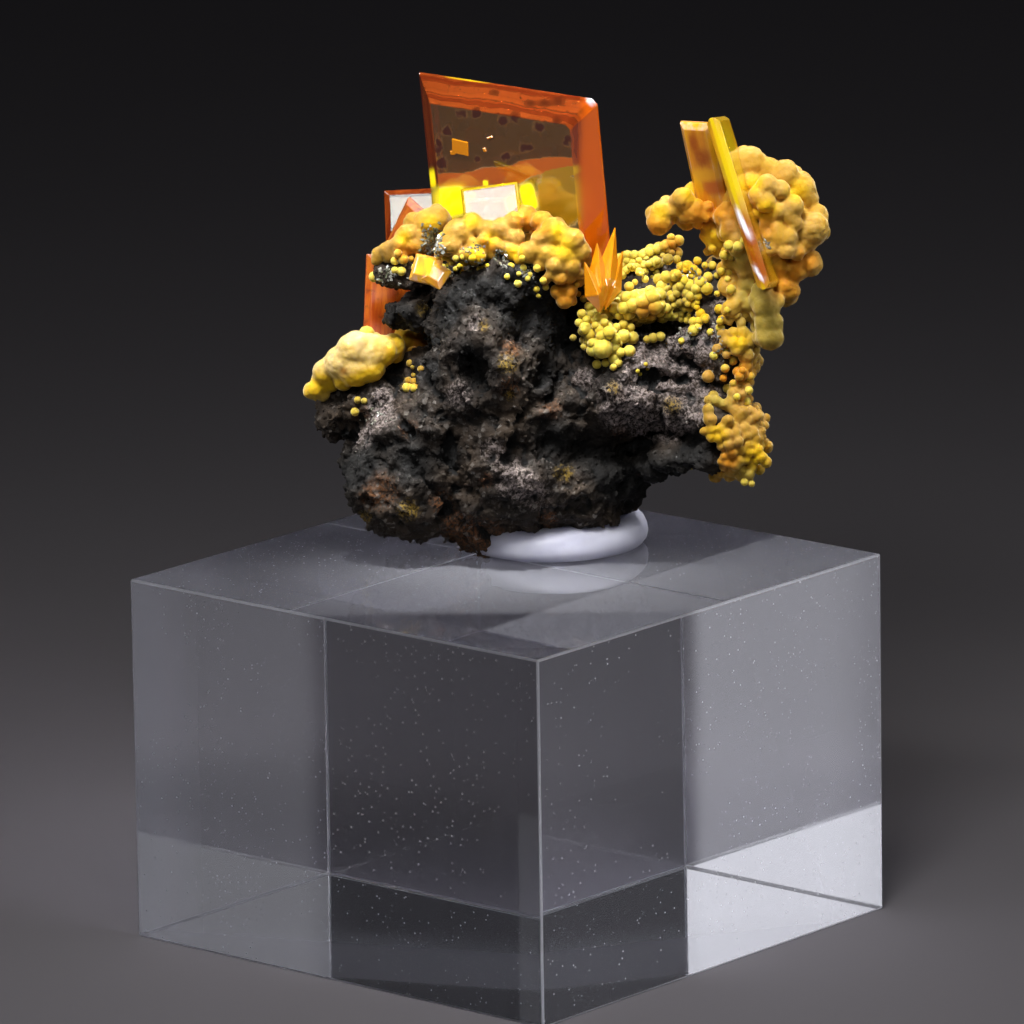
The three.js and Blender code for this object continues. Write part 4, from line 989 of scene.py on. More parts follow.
def putty_finish(name, colour, light):
    """Mineral tack, pressed flat."""
    # A soft gel: it lets light through, blurs what lies behind and shines a little.
    material, tree = new_material(name)
    place = millimetres(tree)
    cloud = add_node(tree, "ShaderNodeTexNoise", vector=place, scale=1 / 2.5, detail=3.0)
    tone = laid_over(tree, colour, light, cloud, low=0.35, high=0.65)
    ripple = add_node(tree, "ShaderNodeTexNoise", vector=place, scale=1 / 1.6, detail=2.0)
    bump = add_node(tree, "ShaderNodeBump", strength=0.25, distance=0.1 * MM, height=ripple)
    shader = add_node(
        tree, "ShaderNodeBsdfPrincipled",
        base_color=tone, roughness=0.4, ior=1.4, specular_ior_level=0.3, normal=bump, transmission_weight=0.2,
        subsurface_weight=0.6, subsurface_radius=(1.0, 1.0, 1.1), subsurface_scale=1.5 * MM,
    )
    add_node(tree, "ShaderNodeOutputMaterial", surface=shader)
    return material


def acrylic_finish(name, tint):
    """Acrylic, cast and polished."""
    # Clear and bright, with fine dust and hairline scratches on it. Its edges catch the light as thin pale lines.
    # Real dust and scratches are far finer. They are drawn 0.1 mm wide or so, so that they show.
    material, tree = new_material(name)
    place = millimetres(tree)
    edge = add_node(tree, "ShaderNodeAttribute", {"attribute_name": "edge"}).outputs["Fac"]
    specks = add_node(tree, "ShaderNodeTexVoronoi", vector=place, scale=1 / 0.5)
    patches = add_node(tree, "ShaderNodeTexNoise", vector=place, scale=1 / 8.0, detail=4.0)
    patch = add_node(tree, "ShaderNodeMapRange", SMOOTH, value=patches, from_min=0.4, from_max=0.6)
    speck = add_node(
        tree, "ShaderNodeMapRange", SMOOTH, value=specks, from_min=0.07, from_max=0.14, to_min=1.0, to_max=0.0
    )
    dust = add_node(tree, "ShaderNodeMath", MULTIPLY, n0=patch, n1=speck)
    turned = add_node(tree, "ShaderNodeMapping", vector=place, rotation=(0.3, 0.9, 0.6), scale=(6.0, 0.06, 6.0))
    hairs = add_node(tree, "ShaderNodeTexNoise", vector=turned, scale=1.0, detail=1.0)
    scratched = add_node(tree, "ShaderNodeMapRange", SMOOTH, value=hairs, from_min=0.72, from_max=0.8, to_max=0.12)
    worn = add_node(tree, "ShaderNodeMath", MULTIPLY_ADD, n0=edge, n1=0.3, n2=scratched)
    rough = add_node(tree, "ShaderNodeMath", ADD, n0=worn, n1=0.012)
    # Painted light: the faces beside the left and right corners are made milky in a band, which a lamp lights so that
    # they look bright as if light came through the block.
    across = add_node(tree, "ShaderNodeVectorMath", {"operation": "DOT_PRODUCT"}, n0=place, n1=(-0.9, 1.1, 0.0))
    rising = add_node(tree, "ShaderNodeMapRange", SMOOTH, value=across, from_min=-19.5, from_max=-17.0, to_max=0.34)
    falling = add_node(
        tree, "ShaderNodeMapRange", SMOOTH, value=across, from_min=-4.0, from_max=12.0, to_min=1.0, to_max=0.0
    )
    painted_light_band = add_node(tree, "ShaderNodeMath", MULTIPLY, n0=rising, n1=falling)
    dust_and_painted_light = add_node(tree, "ShaderNodeMath", ADD, n0=painted_light_band, n1=dust)
    veiled = add_node(tree, "ShaderNodeMath", MULTIPLY_ADD, n0=edge, n1=0.25, n2=dust_and_painted_light)
    clear = add_node(tree, "ShaderNodeMapRange", value=veiled, to_min=0.965, to_max=0.35)
    shader = add_node(
        tree, "ShaderNodeBsdfPrincipled", base_color=tint, roughness=rough, ior=1.49, transmission_weight=clear
    )
    add_node(tree, "ShaderNodeOutputMaterial", surface=shader)
    return material


def floor_finish(name, colour, light):
    """Paper, matt."""
    # Even and pale, with hardly any shine.
    material, tree = new_material(name)
    cloud = add_node(tree, "ShaderNodeTexNoise", vector=millimetres(tree), scale=1 / 40.0, detail=3.0)
    tone = add_node(tree, "ShaderNodeMix", RGBA, factor=cloud, a=colour, b=light)
    shader = add_node(tree, "ShaderNodeBsdfPrincipled", base_color=tone, roughness=0.8)
    add_node(tree, "ShaderNodeOutputMaterial", surface=shader)
    return material


# ---------------------------------------------------------------- pieces


def rock_mesh(detail):
    """The matrix rock: its hollows and ridges, broken facets of three sizes and grit on them."""
    core = frame_copy("matrix_rock")
    skin = voxel_skin(core.copy(), 4 * detail)
    points = vertex_array(skin)
    lumps = ball_mesh(
        (x, y, front_depth(points, x, y, LUMP_REACH) - LUMP_SINK * radius, radius) for x, y, radius in ROCK_LUMPS
    )
    mesh = voxel_skin(mesh_of(joined_shell((core, lumps))), detail)
    for part in (core, skin, lumps):
        bpy.data.meshes.remove(part)
    points = vertex_array(mesh)
    shown = np.clip(normal_array(mesh)[:, 2] * 1.5 + 0.5, 0, 1)
    for x, y, width, height, lean, depth in ROCK_FORMS:
        points[:, 2] += depth * shown * bell(points, x, y, width, height, lean)
    set_vertices(mesh, points)
    relax(mesh, 3)
    points = vertex_array(mesh)
    normals = normal_array(mesh)
    height = np.zeros(len(points))
    for size, depth, seed in ROCK_FACETS:
        away, numbers = nearest_cells(points, size, seed)
        lean = np.stack([scattered(numbers, k) - 0.5 for k in (4, 5, 6)], axis=1)
        tilt = np.sum(away * lean, axis=1) * FACET_TILT
        height += depth * (tilt + scattered(numbers, 7) - 0.5)
    for i, point in enumerate(points):
        place = Vector(point)
        height[i] += RIDGE_DEPTH * (0.5 - abs(noise.noise(place * RIDGE_SCALE)) * 2.0)
        height[i] += GRAIN_DEPTH * noise.fractal(place * GRAIN_SCALE, 0.7, 2.1, 4)
    set_vertices(mesh, points + normals * height[:, None])
    store_hollows(mesh, 0.06, 5)
    store_patches(mesh, ROCK_STAINS_AND_SHADE)
    return mesh


def ball_mesh(centres, detail=2):
    """Balls at given places: rows of x, y, z and radius."""
    whole = bmesh.new()
    for x, y, z, radius in centres:
        place = Matrix.Translation((x, y, z))
        bmesh.ops.create_icosphere(whole, subdivisions=detail, radius=radius, matrix=place)
    return mesh_of(whole)


def front_depth(points, x, y, reach):
    """The z of the foremost of the points round x, y, or nothing where there is none."""
    near = np.hypot(points[:, 0] - x, points[:, 1] - y) < reach
    return float(points[near, 2].max()) if near.any() else None


def face_depth(spec, x, y):
    """The z of a tablet's front face at x, y."""
    normal = tablet_axes(spec)[2]
    face = Vector(spec["at"]) + normal * spec["thick"] / 2
    return face.z - ((x - face.x) * normal.x + (y - face.y) * normal.y) / normal.z


def crust_mesh(node, spec, tree, rock_points):
    """A mimetite crust: its bed, the balls of its display side and others strewn all over, under one skin."""
    bed = voxel_skin(frame_copy(node), BED_VOXEL)
    relax(bed, spec["ease"])
    points = vertex_array(bed) - spec["inset"] * normal_array(bed)
    set_vertices(bed, points)
    random = np.random.default_rng(len(node))
    pane = TABLETS["wulfenite_front_plate"]
    placed = []
    for x, y, radius in BALLS[node]:
        nearest = points[np.argmin(np.hypot(points[:, 0] - x, points[:, 1] - y)), 2]
        on_bed = front_depth(points, x, y, BED_REACH)
        on_rock = front_depth(rock_points, x, y, ROCK_REACH)
        depth = nearest if on_bed is None else on_bed
        if on_rock is not None and abs(on_rock - nearest) < ROCK_STEP:
            depth = max(depth, on_rock)
        if node == "mimetite_crest" and abs(x - pane["at"][0]) < pane["width"] / 2:
            # The crest's balls stand before the plate that it holds.
            depth = max(depth, face_depth(pane, x, y) + 0.4 * radius)
        placed.append((x, y, depth + (random.uniform(0, UNEVEN) - spec["sink"]) * radius, radius))
    small = strewn(
        bed, tree, None,
        spacing=spec["spacing"], radius=spec["radius"], spread=BALL_SPREAD, sink=BALL_SINK, seed=len(node),
    )
    parts = [bed, ball_mesh(placed), small]
    crust = mesh_of(joined_shell(parts))
    if spec["blend"] is None:
        # Painted shade: here the hollow share rises towards the bed, so the crease colour darkens each ball towards
        # its foot.
        foot = BVHTree.FromPolygons(points.tolist(), [tuple(polygon.vertices) for polygon in bed.polygons])
        above = np.array([foot.find_nearest(Vector(point))[3] for point in vertex_array(crust)])
        store_share(crust, "hollow", np.clip(1 - above / spec["radius"], 0, 1))
    else:
        crust = voxel_skin(crust, CRUST_VOXEL)
        relax(crust, spec["blend"])
        grown = vertex_array(crust)
        bead = 1 - BEAD_FALL * np.sum(nearest_cells(grown, BEAD_SIZE, 21)[0] ** 2, axis=1)
        lift = BEAD_HEIGHT * np.clip(bead, BEAD_LEAST, 1)
        set_vertices(crust, grown + normal_array(crust) * lift[:, None])
        store_hollows(crust, 0.03, 3)
    for part in parts:
        bpy.data.meshes.remove(part)
    drop_specks(crust)
    store_patches(crust, TINTS_AND_SHADE_SPOTS)
    return crust


def sprinkled_places(surfaces, regions, side, seed, apart=0.7, raised=0.25):
    """Places for small things that stand on the surfaces, on the display side (1) or the far side (-1).

    "apart" is how near two of them may come, as a share of their radii together. "raised" is how far the middle
    of each stands out of the surface, as a share of its radius, and less than 0 where it lies below.
    """
    shell = joined_shell(surfaces)
    tree = BVHTree.FromBMesh(shell)
    shell.free()
    random = np.random.default_rng(seed)
    placed = []
    for x, y, across, up, count, least, most in regions:
        for _ in range(count):
            spot = (x + across * random.normal() * 0.6, y + up * random.normal() * 0.6)
            radius = random.uniform(least, most)
            if any(math.dist(spot, ball[:2]) < apart * (radius + ball[3]) for ball in placed):
                continue
            hit = tree.ray_cast(Vector((*spot, ABOVE * side)), Vector((0, 0, -side)))[0]
            if hit is not None:
                placed.append((*spot, hit.z + side * raised * radius, radius))
    return placed


def druse_mesh(placed, seed):
    """Tiny pointed crystals at given places, each turned its own way."""
    random = np.random.default_rng(seed)
    shell = bmesh.new()
    for x, y, z, radius in placed:
        turn = Euler(random.uniform(0, math.tau, 3)).to_matrix().to_4x4()
        size = Matrix.Diagonal((0.9 * radius, 0.9 * radius, 0.8 * radius, 1.0))
        place = Matrix.Translation((x, y, z)) @ turn @ size
        bmesh.ops.create_cone(shell, cap_ends=True, segments=5, radius1=1.0, radius2=0.5, depth=2.0, matrix=place)
    return mesh_of(shell)


def tablet_axes(spec):
    """The directions of a tablet's width, height and thickness."""
    x = Vector(spec["across"]).normalized()
    z = x.cross(Vector(spec["up"])).normalized()
    return x, z.cross(x), z


def tablet_mesh(spec):
    """A tabular crystal with fine bevels on its edges, and where each point lies on it.

    "facet" is 0 on its square faces, 0.5 on its bevels and 1 on its upright rim. "inward" runs from 0 at the
    girdle to 1 at a square face. "grown" holds the place along its width, height and thickness.
    """
    axes = tablet_axes(spec)
    thick, rim, inset, clip = spec["thick"], spec["rim"], spec["inset"], spec.get("clip", 0)
    shell = bmesh.new()
    for level, step in ((thick / 2, inset), (thick * rim / 2, 0), (-thick * rim / 2, 0), (-thick / 2, inset)):
        wide, high = spec["width"] / 2 - step, spec["height"] / 2 - step
        corners = [(wide - clip, high), (wide, high - clip), (wide, -high), (-wide, -high), (-wide, high)]
        for i, j in corners[0 if clip else 1 :] + ([] if clip else [(wide, high)]):
            shell.verts.new(Vector(spec["at"]) + axes[0] * i + axes[1] * j + axes[2] * level)
    bmesh.ops.remove_doubles(shell, verts=shell.verts, dist=1e-4)
    bmesh.ops.convex_hull(shell, input=shell.verts)
    flat = [e for e in shell.edges if e.calc_face_angle(0.0) < 1e-3]
    bmesh.ops.dissolve_edges(shell, edges=flat)
    ease_edges(shell, shell.edges[:], min(FINE_BEVEL, 0.12 * thick), segments=2)
    if "cuts" in spec:
        bmesh.ops.triangulate(shell, faces=[f for f in shell.faces if len(f.verts) > 4])
        long = [e for e in shell.edges if e.calc_length() > LONG_EDGE]
        bmesh.ops.subdivide_edges(shell, edges=long, cuts=spec["cuts"], use_grid_fill=True)
    mesh = mesh_of(shell)
    facets = []
    for polygon in mesh.polygons:
        flatness = abs(polygon.normal.dot(axes[2]))
        facets.append(0.0 if flatness > SQUARE_FACE else 1.0 if flatness < UPRIGHT_FACE else 0.5)
    store_share(mesh, "facet", facets, "FACE")
    grown = (vertex_array(mesh) - np.array(spec["at"])) @ np.array(axes).T
    store_places(mesh, "grown", grown)
    edge = np.minimum(spec["width"] / 2 - np.abs(grown[:, 0]), spec["height"] / 2 - np.abs(grown[:, 1]))
    store_share(mesh, "inward", np.clip(edge / inset, 0, 1))
    if "cuts" in spec:
        for kind, patches in CRYSTAL_ZONES_AND_PAINTED_LIGHT.items():
            store_patches(mesh, {kind: patches}, 1 if kind == "spots" else 2)
    return mesh


def crystals_mesh(node):
    """A group of small crystals as in the frame, with eased edges and a tone of its own for each face."""
    source = frame_copy(node)
    shell = joined_shell([source])
    bpy.data.meshes.remove(source)
    bmesh.ops.dissolve_limit(shell, angle_limit=0.03, verts=shell.verts, edges=shell.edges)
    sharp = [e for e in shell.edges if e.calc_face_angle(0.0) > 0.3 and e.calc_length() > 0.2]
    ease_edges(shell, sharp, EASED_EDGE)
    mesh = mesh_of(shell)
    tones = scattered(np.arange(len(mesh.polygons)), 3) * 0.5
    store_share(mesh, "facet", tones, "FACE")
    store_places(mesh, "grown", vertex_array(mesh))
    return mesh


def flakes_mesh(spec):
    """Thin plates grown on a tablet's front face."""
    turn = Matrix(tablet_axes(spec)).transposed().to_4x4()
    shell = bmesh.new()
    for x, y, width, height, lean in FLAKES:
        size = Matrix.Diagonal((width, height, FLAKE_THICKNESS, 1.0))
        leant = turn @ Matrix.Rotation(math.radians(lean), 4, "Z")
        place = Matrix.Translation((x, y, face_depth(spec, x, y))) @ leant @ size
        bmesh.ops.create_cube(shell, size=1.0, matrix=place)
    ease_edges(shell, shell.edges[:], EASED_EDGE)
    return mesh_of(shell)


def putty_mesh(radius, height):
    """A round pad, pressed flat and uneven under the rock's weight, in the outer frame."""
    profile = [
        (0.0, 0.0), (0.5, 0.0), (0.9, 0.0), (0.96, 0.05), (0.99, 0.16), (1.0, 0.32), (0.99, 0.5), (0.965, 0.66),
        (0.92, 0.79), (0.85, 0.88), (0.74, 0.95), (0.58, 0.99), (0.4, 1.0), (0.0, 1.0),
    ]
    segments = 96
    foot = BLOCK_HEIGHT + PAD_GAP
    shell = bmesh.new()
    rings = []
    for across, up in profile:
        if across == 0.0:
            rings.append([shell.verts.new((*PAD_AT, foot + up * height))])
            continue
        ring = []
        for k in range(segments):
            angle = math.tau * k / segments
            wave = noise.noise(Vector((math.cos(angle) * 1.3, math.sin(angle) * 1.3, up * 0.8)))
            reach = across * radius * (1 + 0.03 * wave)
            lift = up * height * (1 + 0.06 * noise.noise(Vector((math.cos(angle), math.sin(angle), 4.0))))
            place = (PAD_AT[0] + reach * math.cos(angle), PAD_AT[1] + reach * math.sin(angle), foot + lift)
            ring.append(shell.verts.new(place))
        rings.append(ring)
    for lower, upper in zip(rings, rings[1:]):
        for k in range(segments):
            corners = [lower[k % len(lower)], lower[(k + 1) % len(lower)]]
            corners += [upper[(k + 1) % len(upper)], upper[k % len(upper)]]
            shell.faces.new(list(dict.fromkeys(corners)))
    bmesh.ops.recalc_face_normals(shell, faces=shell.faces)
    return mesh_of(shell)


def block_mesh(edge):
    """A square block with narrow broken edges, in the outer frame. "edge" is 1 on those edges."""
    shell = bmesh.new()
    size = Matrix.Diagonal((BLOCK_SIDE, BLOCK_SIDE, BLOCK_HEIGHT, 1.0))
    bmesh.ops.create_cube(shell, size=1.0, matrix=Matrix.Translation((0, 0, BLOCK_HEIGHT / 2)) @ size)
    ease_edges(shell, shell.edges[:], edge, segments=3)
    mesh = mesh_of(shell)
    broken = [float(max(abs(part) for part in polygon.normal) < 0.999) for polygon in mesh.polygons]
    store_share(mesh, "edge", broken, "FACE")
    return mesh


# ---------------------------------------------------------------- settings


def colour_setting(name, description, colour):
    """A colour that a user may change, given as a hex colour."""
    return bpy.props.FloatVectorProperty(
        name=name, description=description, default=linear(colour), size=4, min=0.0, max=1.0, subtype="COLOR"
    )


def length_setting(name, description, length):
    """A length that a user may change, given in millimetres."""
    return bpy.props.FloatProperty(name=name, description=description, default=length * MM, unit="LENGTH", precision=6)


class RockSettings(bpy.types.PropertyGroup):
    detail: length_setting("Detail", "Width of the rock's smallest faces", 0.16)
    grit_spacing: length_setting("Grit spacing", "Least distance between grains", 0.5)
    grit_radius: length_setting("Grit radius", "Middle radius of a grain", 0.12)
    ground: colour_setting("Ground", "Darker tone of the bare rock", "#1A130D")
    ground_light: colour_setting("Lighter ground", "Lighter tone of the bare rock", "#3A2E22")
    grain: colour_setting("Grain", "Pale grains in the rock", "#7C7670")
    rust: colour_setting("Rust", "Where iron has seeped out", "#5E3A1C")
    pale: colour_setting("Weathered", "Where the rock has weathered", "#7C706C")
    ochre: colour_setting("Ochre", "Ochre veins", "#7A6220")


class MimetiteSettings(bpy.types.PropertyGroup):
    # Each tone's crease colour is painted shade, laid in creases and at the feet of the balls.
    peach: colour_setting("Peach", "Crowns on the ball and arch at the right", "#C89E4A")
    peach_deep: colour_setting("Deep peach", "Blotches there", "#BC9026")
    peach_crease: colour_setting("Peach crease", "Creases there", "#9A660A")
    cream: colour_setting("Cream", "Crowns on the crest and the horn", "#B48A3C")
    cream_deep: colour_setting("Deep cream", "Blotches there", "#A67E1E")
    cream_crease: colour_setting("Cream crease", "Creases there", "#8E620A")
    lemon: colour_setting("Lemon", "Crowns on the small balls", "#E2CE58")
    lemon_deep: colour_setting("Deep lemon", "Blotches there", "#CEB238")
    lemon_crease: colour_setting("Lemon crease", "Creases there", "#6E5A0C")
    beige: colour_setting("Beige", "Top of the shelf", "#D8BA7C")
    beige_deep: colour_setting("Deep beige", "Blotches there", "#D2B05A")
    beige_crease: colour_setting("Beige crease", "Creases there", "#96640A")
    amber: colour_setting("Amber", "Amber patches", "#C8820C")
    olive: colour_setting("Olive", "Olive patches", "#A28C38")
    yellow: colour_setting("Yellow", "Yellow patches", "#DCB000")


class WulfeniteSettings(bpy.types.PropertyGroup):
    window_tint: colour_setting("Clear depth", "What light becomes in the main plate", "#FFFA28")
    window_clear: colour_setting("Clear face", "Clear parts of the main plate's face", "#FFF0B8")
    window_haze: colour_setting("Smoky haze", "Upper half of the main plate's face", "#D09450")
    window_band: colour_setting("Orange band", "Band across the main plate's face", "#C4601A")
    window_lemon: colour_setting("Lemon zones", "Yellow zones of the main plate's face", "#F6EA12")
    window_bevel: colour_setting("Bevel", "The main plate's bevels", "#904016")
    window_bevel_deep: colour_setting("Deep bevel", "Stripes in those bevels", "#6C240C")
    # Painted light: the bright right bevel stands in for light that comes through it.
    window_bevel_glow: colour_setting("Bright bevel", "The main plate's bright right bevel", "#C85606")
    window_gold: colour_setting("Golden zones", "Golden zones of the main plate's face", "#C89A20")
    ember: colour_setting("Ember face", "The left tablets' faces", "#A84006")
    ember_light: colour_setting("Ember edge", "The left tablets' edges", "#CC6C12")
    amber: colour_setting("Amber face", "The short blade's faces", "#DA8A1C")
    amber_deep: colour_setting("Deep amber", "Brown parts of the short blade", "#A4520C")
    amber_light: colour_setting("Golden part", "Its golden parts", "#EBAA1E")
    amber_edge: colour_setting("Amber edge", "Its bevels", "#E8B890")
    gold: colour_setting("Gold", "Faces of the spray, chips and flakes", "#E08408")
    gold_light: colour_setting("Light gold", "Their lighter parts", "#E2920E")
    lemon_face: colour_setting("Lemon face", "The long blade's faces", "#CC9E16")
    lemon_edge: colour_setting("Lemon edge", "The long blade's bevels", "#DCB244")
    lemon_rim: colour_setting("Lemon rim", "The long blade's rim", "#EAC814")
    white_face: colour_setting("Mirror face", "Faces of the plates before and behind the main one", "#FFF4E4")
    # Painted glints: a pale colour laid where light glints on the crystals.
    painted_glint: colour_setting("Frost", "Chipped spots that catch the light", "#E6E4F0")
    vein: colour_setting("Vein", "Dark red veins and spots", "#4A1C0C")


class PuttySettings(bpy.types.PropertyGroup):
    radius: length_setting("Radius", "Radius of the pad", 6.4)
    height: length_setting("Height", "Height of the pad", 2.3)
    colour: colour_setting("Colour", "The putty's colour", "#C0C0D2")
    light: colour_setting("Lighter colour", "Its lighter clouds", "#CECEDE")


class BlockSettings(bpy.types.PropertyGroup):
    edge: length_setting("Broken edge", "Width of the block's broken edges", 0.15)
    tint: colour_setting("Tint", "The acrylic's tint", "#F0F1FC")


class StageSettings(bpy.types.PropertyGroup):
    floor_side: length_setting("Floor side", "Side of the square floor", 3000)
    floor: colour_setting("Floor", "The floor's colour", "#BAB4BA")
    floor_light: colour_setting("Lighter floor", "Its lighter clouds", "#C2BCC2")
    room: colour_setting("Room", "Light of the room", "#3A3A3E")


# ---------------------------------------------------------------- operators


def dressed_copy(made):
    """A finished piece's mesh in millimetres in the specimen's frame."""
    mesh = made.data.copy()
    mesh.transform(SPECIMEN_FRAME.inverted())
    return mesh


class SPECIMEN_OT_rock(bpy.types.Operator):
    """Builds the matrix rock and the loose-looking grains on it."""

    bl_idname = "specimen.rock"
    bl_label = "Matrix rock"

    def execute(self, context):
        settings = context.scene.rock_settings
        finish = rock_finish("iron-stained matrix, broken", settings)
        mesh = rock_mesh(settings.detail / MM)
        tree = scatter_tree("Grit", 1, True)
        grit = strewn(
            mesh, tree, finish,
            spacing=settings.grit_spacing / MM, radius=settings.grit_radius / MM, spread=0.5, sink=0.2, seed=4,
        )
        drop_specks(mesh)
        body = finish_piece("rock", mesh, finish, "rock")
        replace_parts(body, "matrix_rock")
        finish_piece("rock_grains", grit, finish, "rock", smooth=False)
        return {"FINISHED"}


class SPECIMEN_OT_mimetite(bpy.types.Operator):
    """Builds the mimetite crusts and the small balls between them."""

    bl_idname = "specimen.mimetite"
    bl_label = "Mimetite"

    def execute(self, context):
        settings = context.scene.mimetite_settings
        finishes = {tone: mimetite_finish(tone, settings) for tone in ("peach", "cream", "lemon", "beige")}
        tree = scatter_tree("Balls", 2, False)
        carriers = [dressed_copy(bpy.data.objects["rock"])]
        rock_points = vertex_array(carriers[0])
        for node, row in CRUSTS.items():
            spec = dict(zip(CRUST_COLUMNS, row))
            name = node.replace("mimetite_", "mimetite_balls_")
            made = finish_piece(name, crust_mesh(node, spec, tree, rock_points), finishes[spec["finish"]], "mimetite")
            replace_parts(made, node)
            carriers.append(dressed_copy(made))
        for name, regions, side, seed in (
            ("mimetite_sprinkled_balls", SPRINKLES, 1, 11),
            ("mimetite_far_balls", FAR_SPRINKLES, -1, 12),
        ):
            balls = ball_mesh(sprinkled_places(carriers, regions, side, seed))
            store_patches(balls, TINTS_AND_SHADE_SPOTS)
            finish_piece(name, balls, finishes["lemon"], "mimetite")
        druse = druse_mesh(sprinkled_places(carriers, DRUSES, 1, 13, apart=0.4, raised=-0.2), 14)
        finish_piece("druse", druse, druse_finish("cerussite, druse"), "rock", smooth=False)
        for mesh in carriers:
            bpy.data.meshes.remove(mesh)
        return {"FINISHED"}


class SPECIMEN_OT_wulfenite(bpy.types.Operator):
    """Builds the wulfenite tablets, the small crystals and the flakes."""

    bl_idname = "specimen.wulfenite"
    bl_label = "Wulfenite"

    def execute(self, context):
        settings = context.scene.wulfenite_settings
        finishes = {
            name: tablet_finish(name, dict(zip(LOOK_COLUMNS, look)), settings) for name, look in LOOKS.items()
        }
        finishes["window"] = window_finish("wulfenite, clear tablet", settings)
        for node, spec in TABLETS.items():
            name = node.replace("wulfenite_", "tablet_")
            made = finish_piece(name, tablet_mesh(spec), finishes[spec["finish"]], "wulfenite", smooth=False)
            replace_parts(made, node)
        for node, tone in CRYSTAL_GROUPS.items():
            name = node.replace("wulfenite_", "crystals_")
            made = finish_piece(name, crystals_mesh(node), finishes[tone], "wulfenite", smooth=False)
            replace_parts(made, node)
        flakes = flakes_mesh(TABLETS["wulfenite_main_plate"])
        finish_piece("crystals_flakes", flakes, finishes["gold"], "wulfenite", smooth=False)
        return {"FINISHED"}


class SPECIMEN_OT_putty(bpy.types.Operator):
    """Builds the pad of putty."""

    bl_idname = "specimen.putty"
    bl_label = "Putty"

    def execute(self, context):
        settings = context.scene.putty_settings
        finish = putty_finish("mineral tack, pressed flat", settings.colour, settings.light)
        mesh = putty_mesh(settings.radius / MM, settings.height / MM)
        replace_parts(finish_piece("putty_pad", mesh, finish, "putty", OUTER_FRAME), "mounting_putty")
        return {"FINISHED"}


class SPECIMEN_OT_block(bpy.types.Operator):
    """Builds the clear display block."""

    bl_idname = "specimen.block"
    bl_label = "Display block"

    def execute(self, context):
        settings = context.scene.block_settings
        finish = acrylic_finish("acrylic, cast and polished", settings.tint)
        mesh = block_mesh(settings.edge / MM)
        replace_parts(finish_piece("acrylic_block", mesh, finish, "acrylic", OUTER_FRAME, smooth=False), "display_block")
        return {"FINISHED"}


def area_light(name, target, azimuth, elevation, distance, width, height, power, spread):
    """A soft rectangular lamp that faces a target in millimetres, given by where it stands round it in degrees."""
    a, e = DISPLAY_TURN + math.radians(azimuth), math.radians(elevation)
    away = Vector((math.sin(a) * math.cos(e), -math.cos(a) * math.cos(e), math.sin(e)))
    lamp = bpy.data.lights.new(name, "AREA")
    lamp.shape = "RECTANGLE"
    lamp.size, lamp.size_y = width * MM, height * MM
    lamp.energy = power
    lamp.spread = math.radians(spread)
    made = bpy.data.objects.new(name, lamp)
    made.location = (Vector(target) + away * distance) * MM
    made.rotation_mode = "QUATERNION"
    made.rotation_quaternion = away.to_track_quat("Z", "Y")
    made.visible_camera = False
    bpy.context.scene.collection.objects.link(made)
    return made


def display_camera():
    """A long lens that looks down a little on the display side."""
    data = bpy.data.cameras.new("Display camera")
    data.lens, data.sensor_width = CAMERA_LENS, CAMERA_SENSOR
    data.clip_start, data.clip_end = 0.01, 20.0
    made = bpy.data.objects.new("Display camera", data)
    made.matrix_world = Matrix.Translation(SPECIMEN_FRAME @ Vector(CAMERA_AT)) @ SPECIMEN_TURN
    bpy.context.scene.collection.objects.link(made)
    bpy.context.scene.camera = made


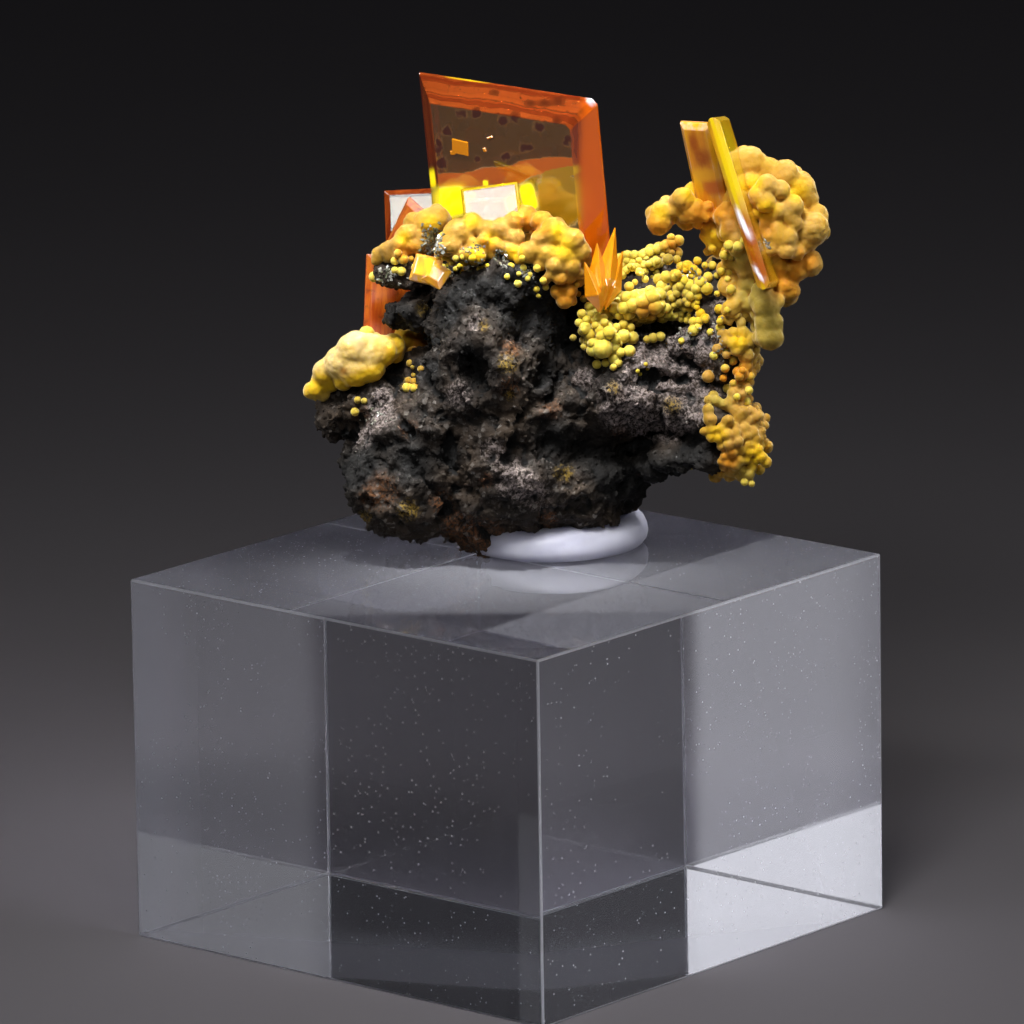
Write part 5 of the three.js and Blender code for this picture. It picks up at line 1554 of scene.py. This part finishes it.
class SPECIMEN_OT_stage(bpy.types.Operator):
    """Builds the floor, the lamps and the camera."""

    bl_idname = "specimen.stage"
    bl_label = "Stage"

    def execute(self, context):
        settings = context.scene.stage_settings
        shell = bmesh.new()
        bmesh.ops.create_grid(shell, x_segments=2, y_segments=2, size=settings.floor_side / 2)
        mesh = mesh_of(shell)
        mesh.transform(Matrix.Translation((0.0, 0.0, -FLOOR_GAP * MM)))
        mesh.materials.append(floor_finish("paper, matt", settings.floor, settings.floor_light))
        link_object("floor", mesh)

        for name, where in LAMPS.items():
            area_light(name, *where)
        for group, slots, lamps in (
            ("Minerals", ("rock", "mimetite", "wulfenite", "putty"), MINERAL_LAMPS),
            ("Crystals", ("wulfenite",), CRYSTAL_LAMPS),
            ("Block", ("acrylic",), BLOCK_LAMPS),
        ):
            lit = bpy.data.collections.new(group)
            for made in bpy.data.objects:
                if made.get("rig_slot") in slots:
                    lit.objects.link(made)
            for name, where in lamps.items():
                area_light(name, *where).light_linking.receiver_collection = lit

        world = bpy.data.worlds.new("Dim room")
        world.use_nodes = True
        background = world.node_tree.nodes["Background"].inputs
        background["Color"].default_value = settings.room
        background["Strength"].default_value = ROOM_STRENGTH
        context.scene.world = world
        context.scene.view_settings.view_transform = "Standard"
        display_camera()
        return {"FINISHED"}


class SPECIMEN_PT_panel(bpy.types.Panel):
    """Lists the pieces of the specimen and their settings."""

    bl_idname = "SPECIMEN_PT_panel"
    bl_label = "Specimen"
    bl_space_type = "VIEW_3D"
    bl_region_type = "UI"
    bl_category = "Specimen"

    def draw(self, context):
        for operator in OPERATORS:
            self.layout.operator(operator.bl_idname)
        for group in SETTINGS:
            settings = getattr(context.scene, group)
            for name in settings.__annotations__:
                self.layout.prop(settings, name)


SETTINGS = {
    "rock_settings": RockSettings,
    "mimetite_settings": MimetiteSettings,
    "wulfenite_settings": WulfeniteSettings,
    "putty_settings": PuttySettings,
    "block_settings": BlockSettings,
    "stage_settings": StageSettings,
}
OPERATORS = (
    SPECIMEN_OT_rock,
    SPECIMEN_OT_mimetite,
    SPECIMEN_OT_wulfenite,
    SPECIMEN_OT_putty,
    SPECIMEN_OT_block,
    SPECIMEN_OT_stage,
)


def register():
    """Makes the classes known to Blender."""
    for made in (*SETTINGS.values(), *OPERATORS, SPECIMEN_PT_panel):
        bpy.utils.register_class(made)
    for name, group in SETTINGS.items():
        setattr(bpy.types.Scene, name, bpy.props.PointerProperty(type=group))


def unregister():
    """Takes the classes away again."""
    for name in SETTINGS:
        delattr(bpy.types.Scene, name)
    for made in reversed((*SETTINGS.values(), *OPERATORS, SPECIMEN_PT_panel)):
        bpy.utils.unregister_class(made)


def main():
    """Builds everything in order."""
    register()
    bpy.ops.specimen.rock()
    bpy.ops.specimen.mimetite()
    bpy.ops.specimen.wulfenite()
    bpy.ops.specimen.putty()
    bpy.ops.specimen.block()
    bpy.ops.specimen.stage()


if __name__ == "__main__":
    main()
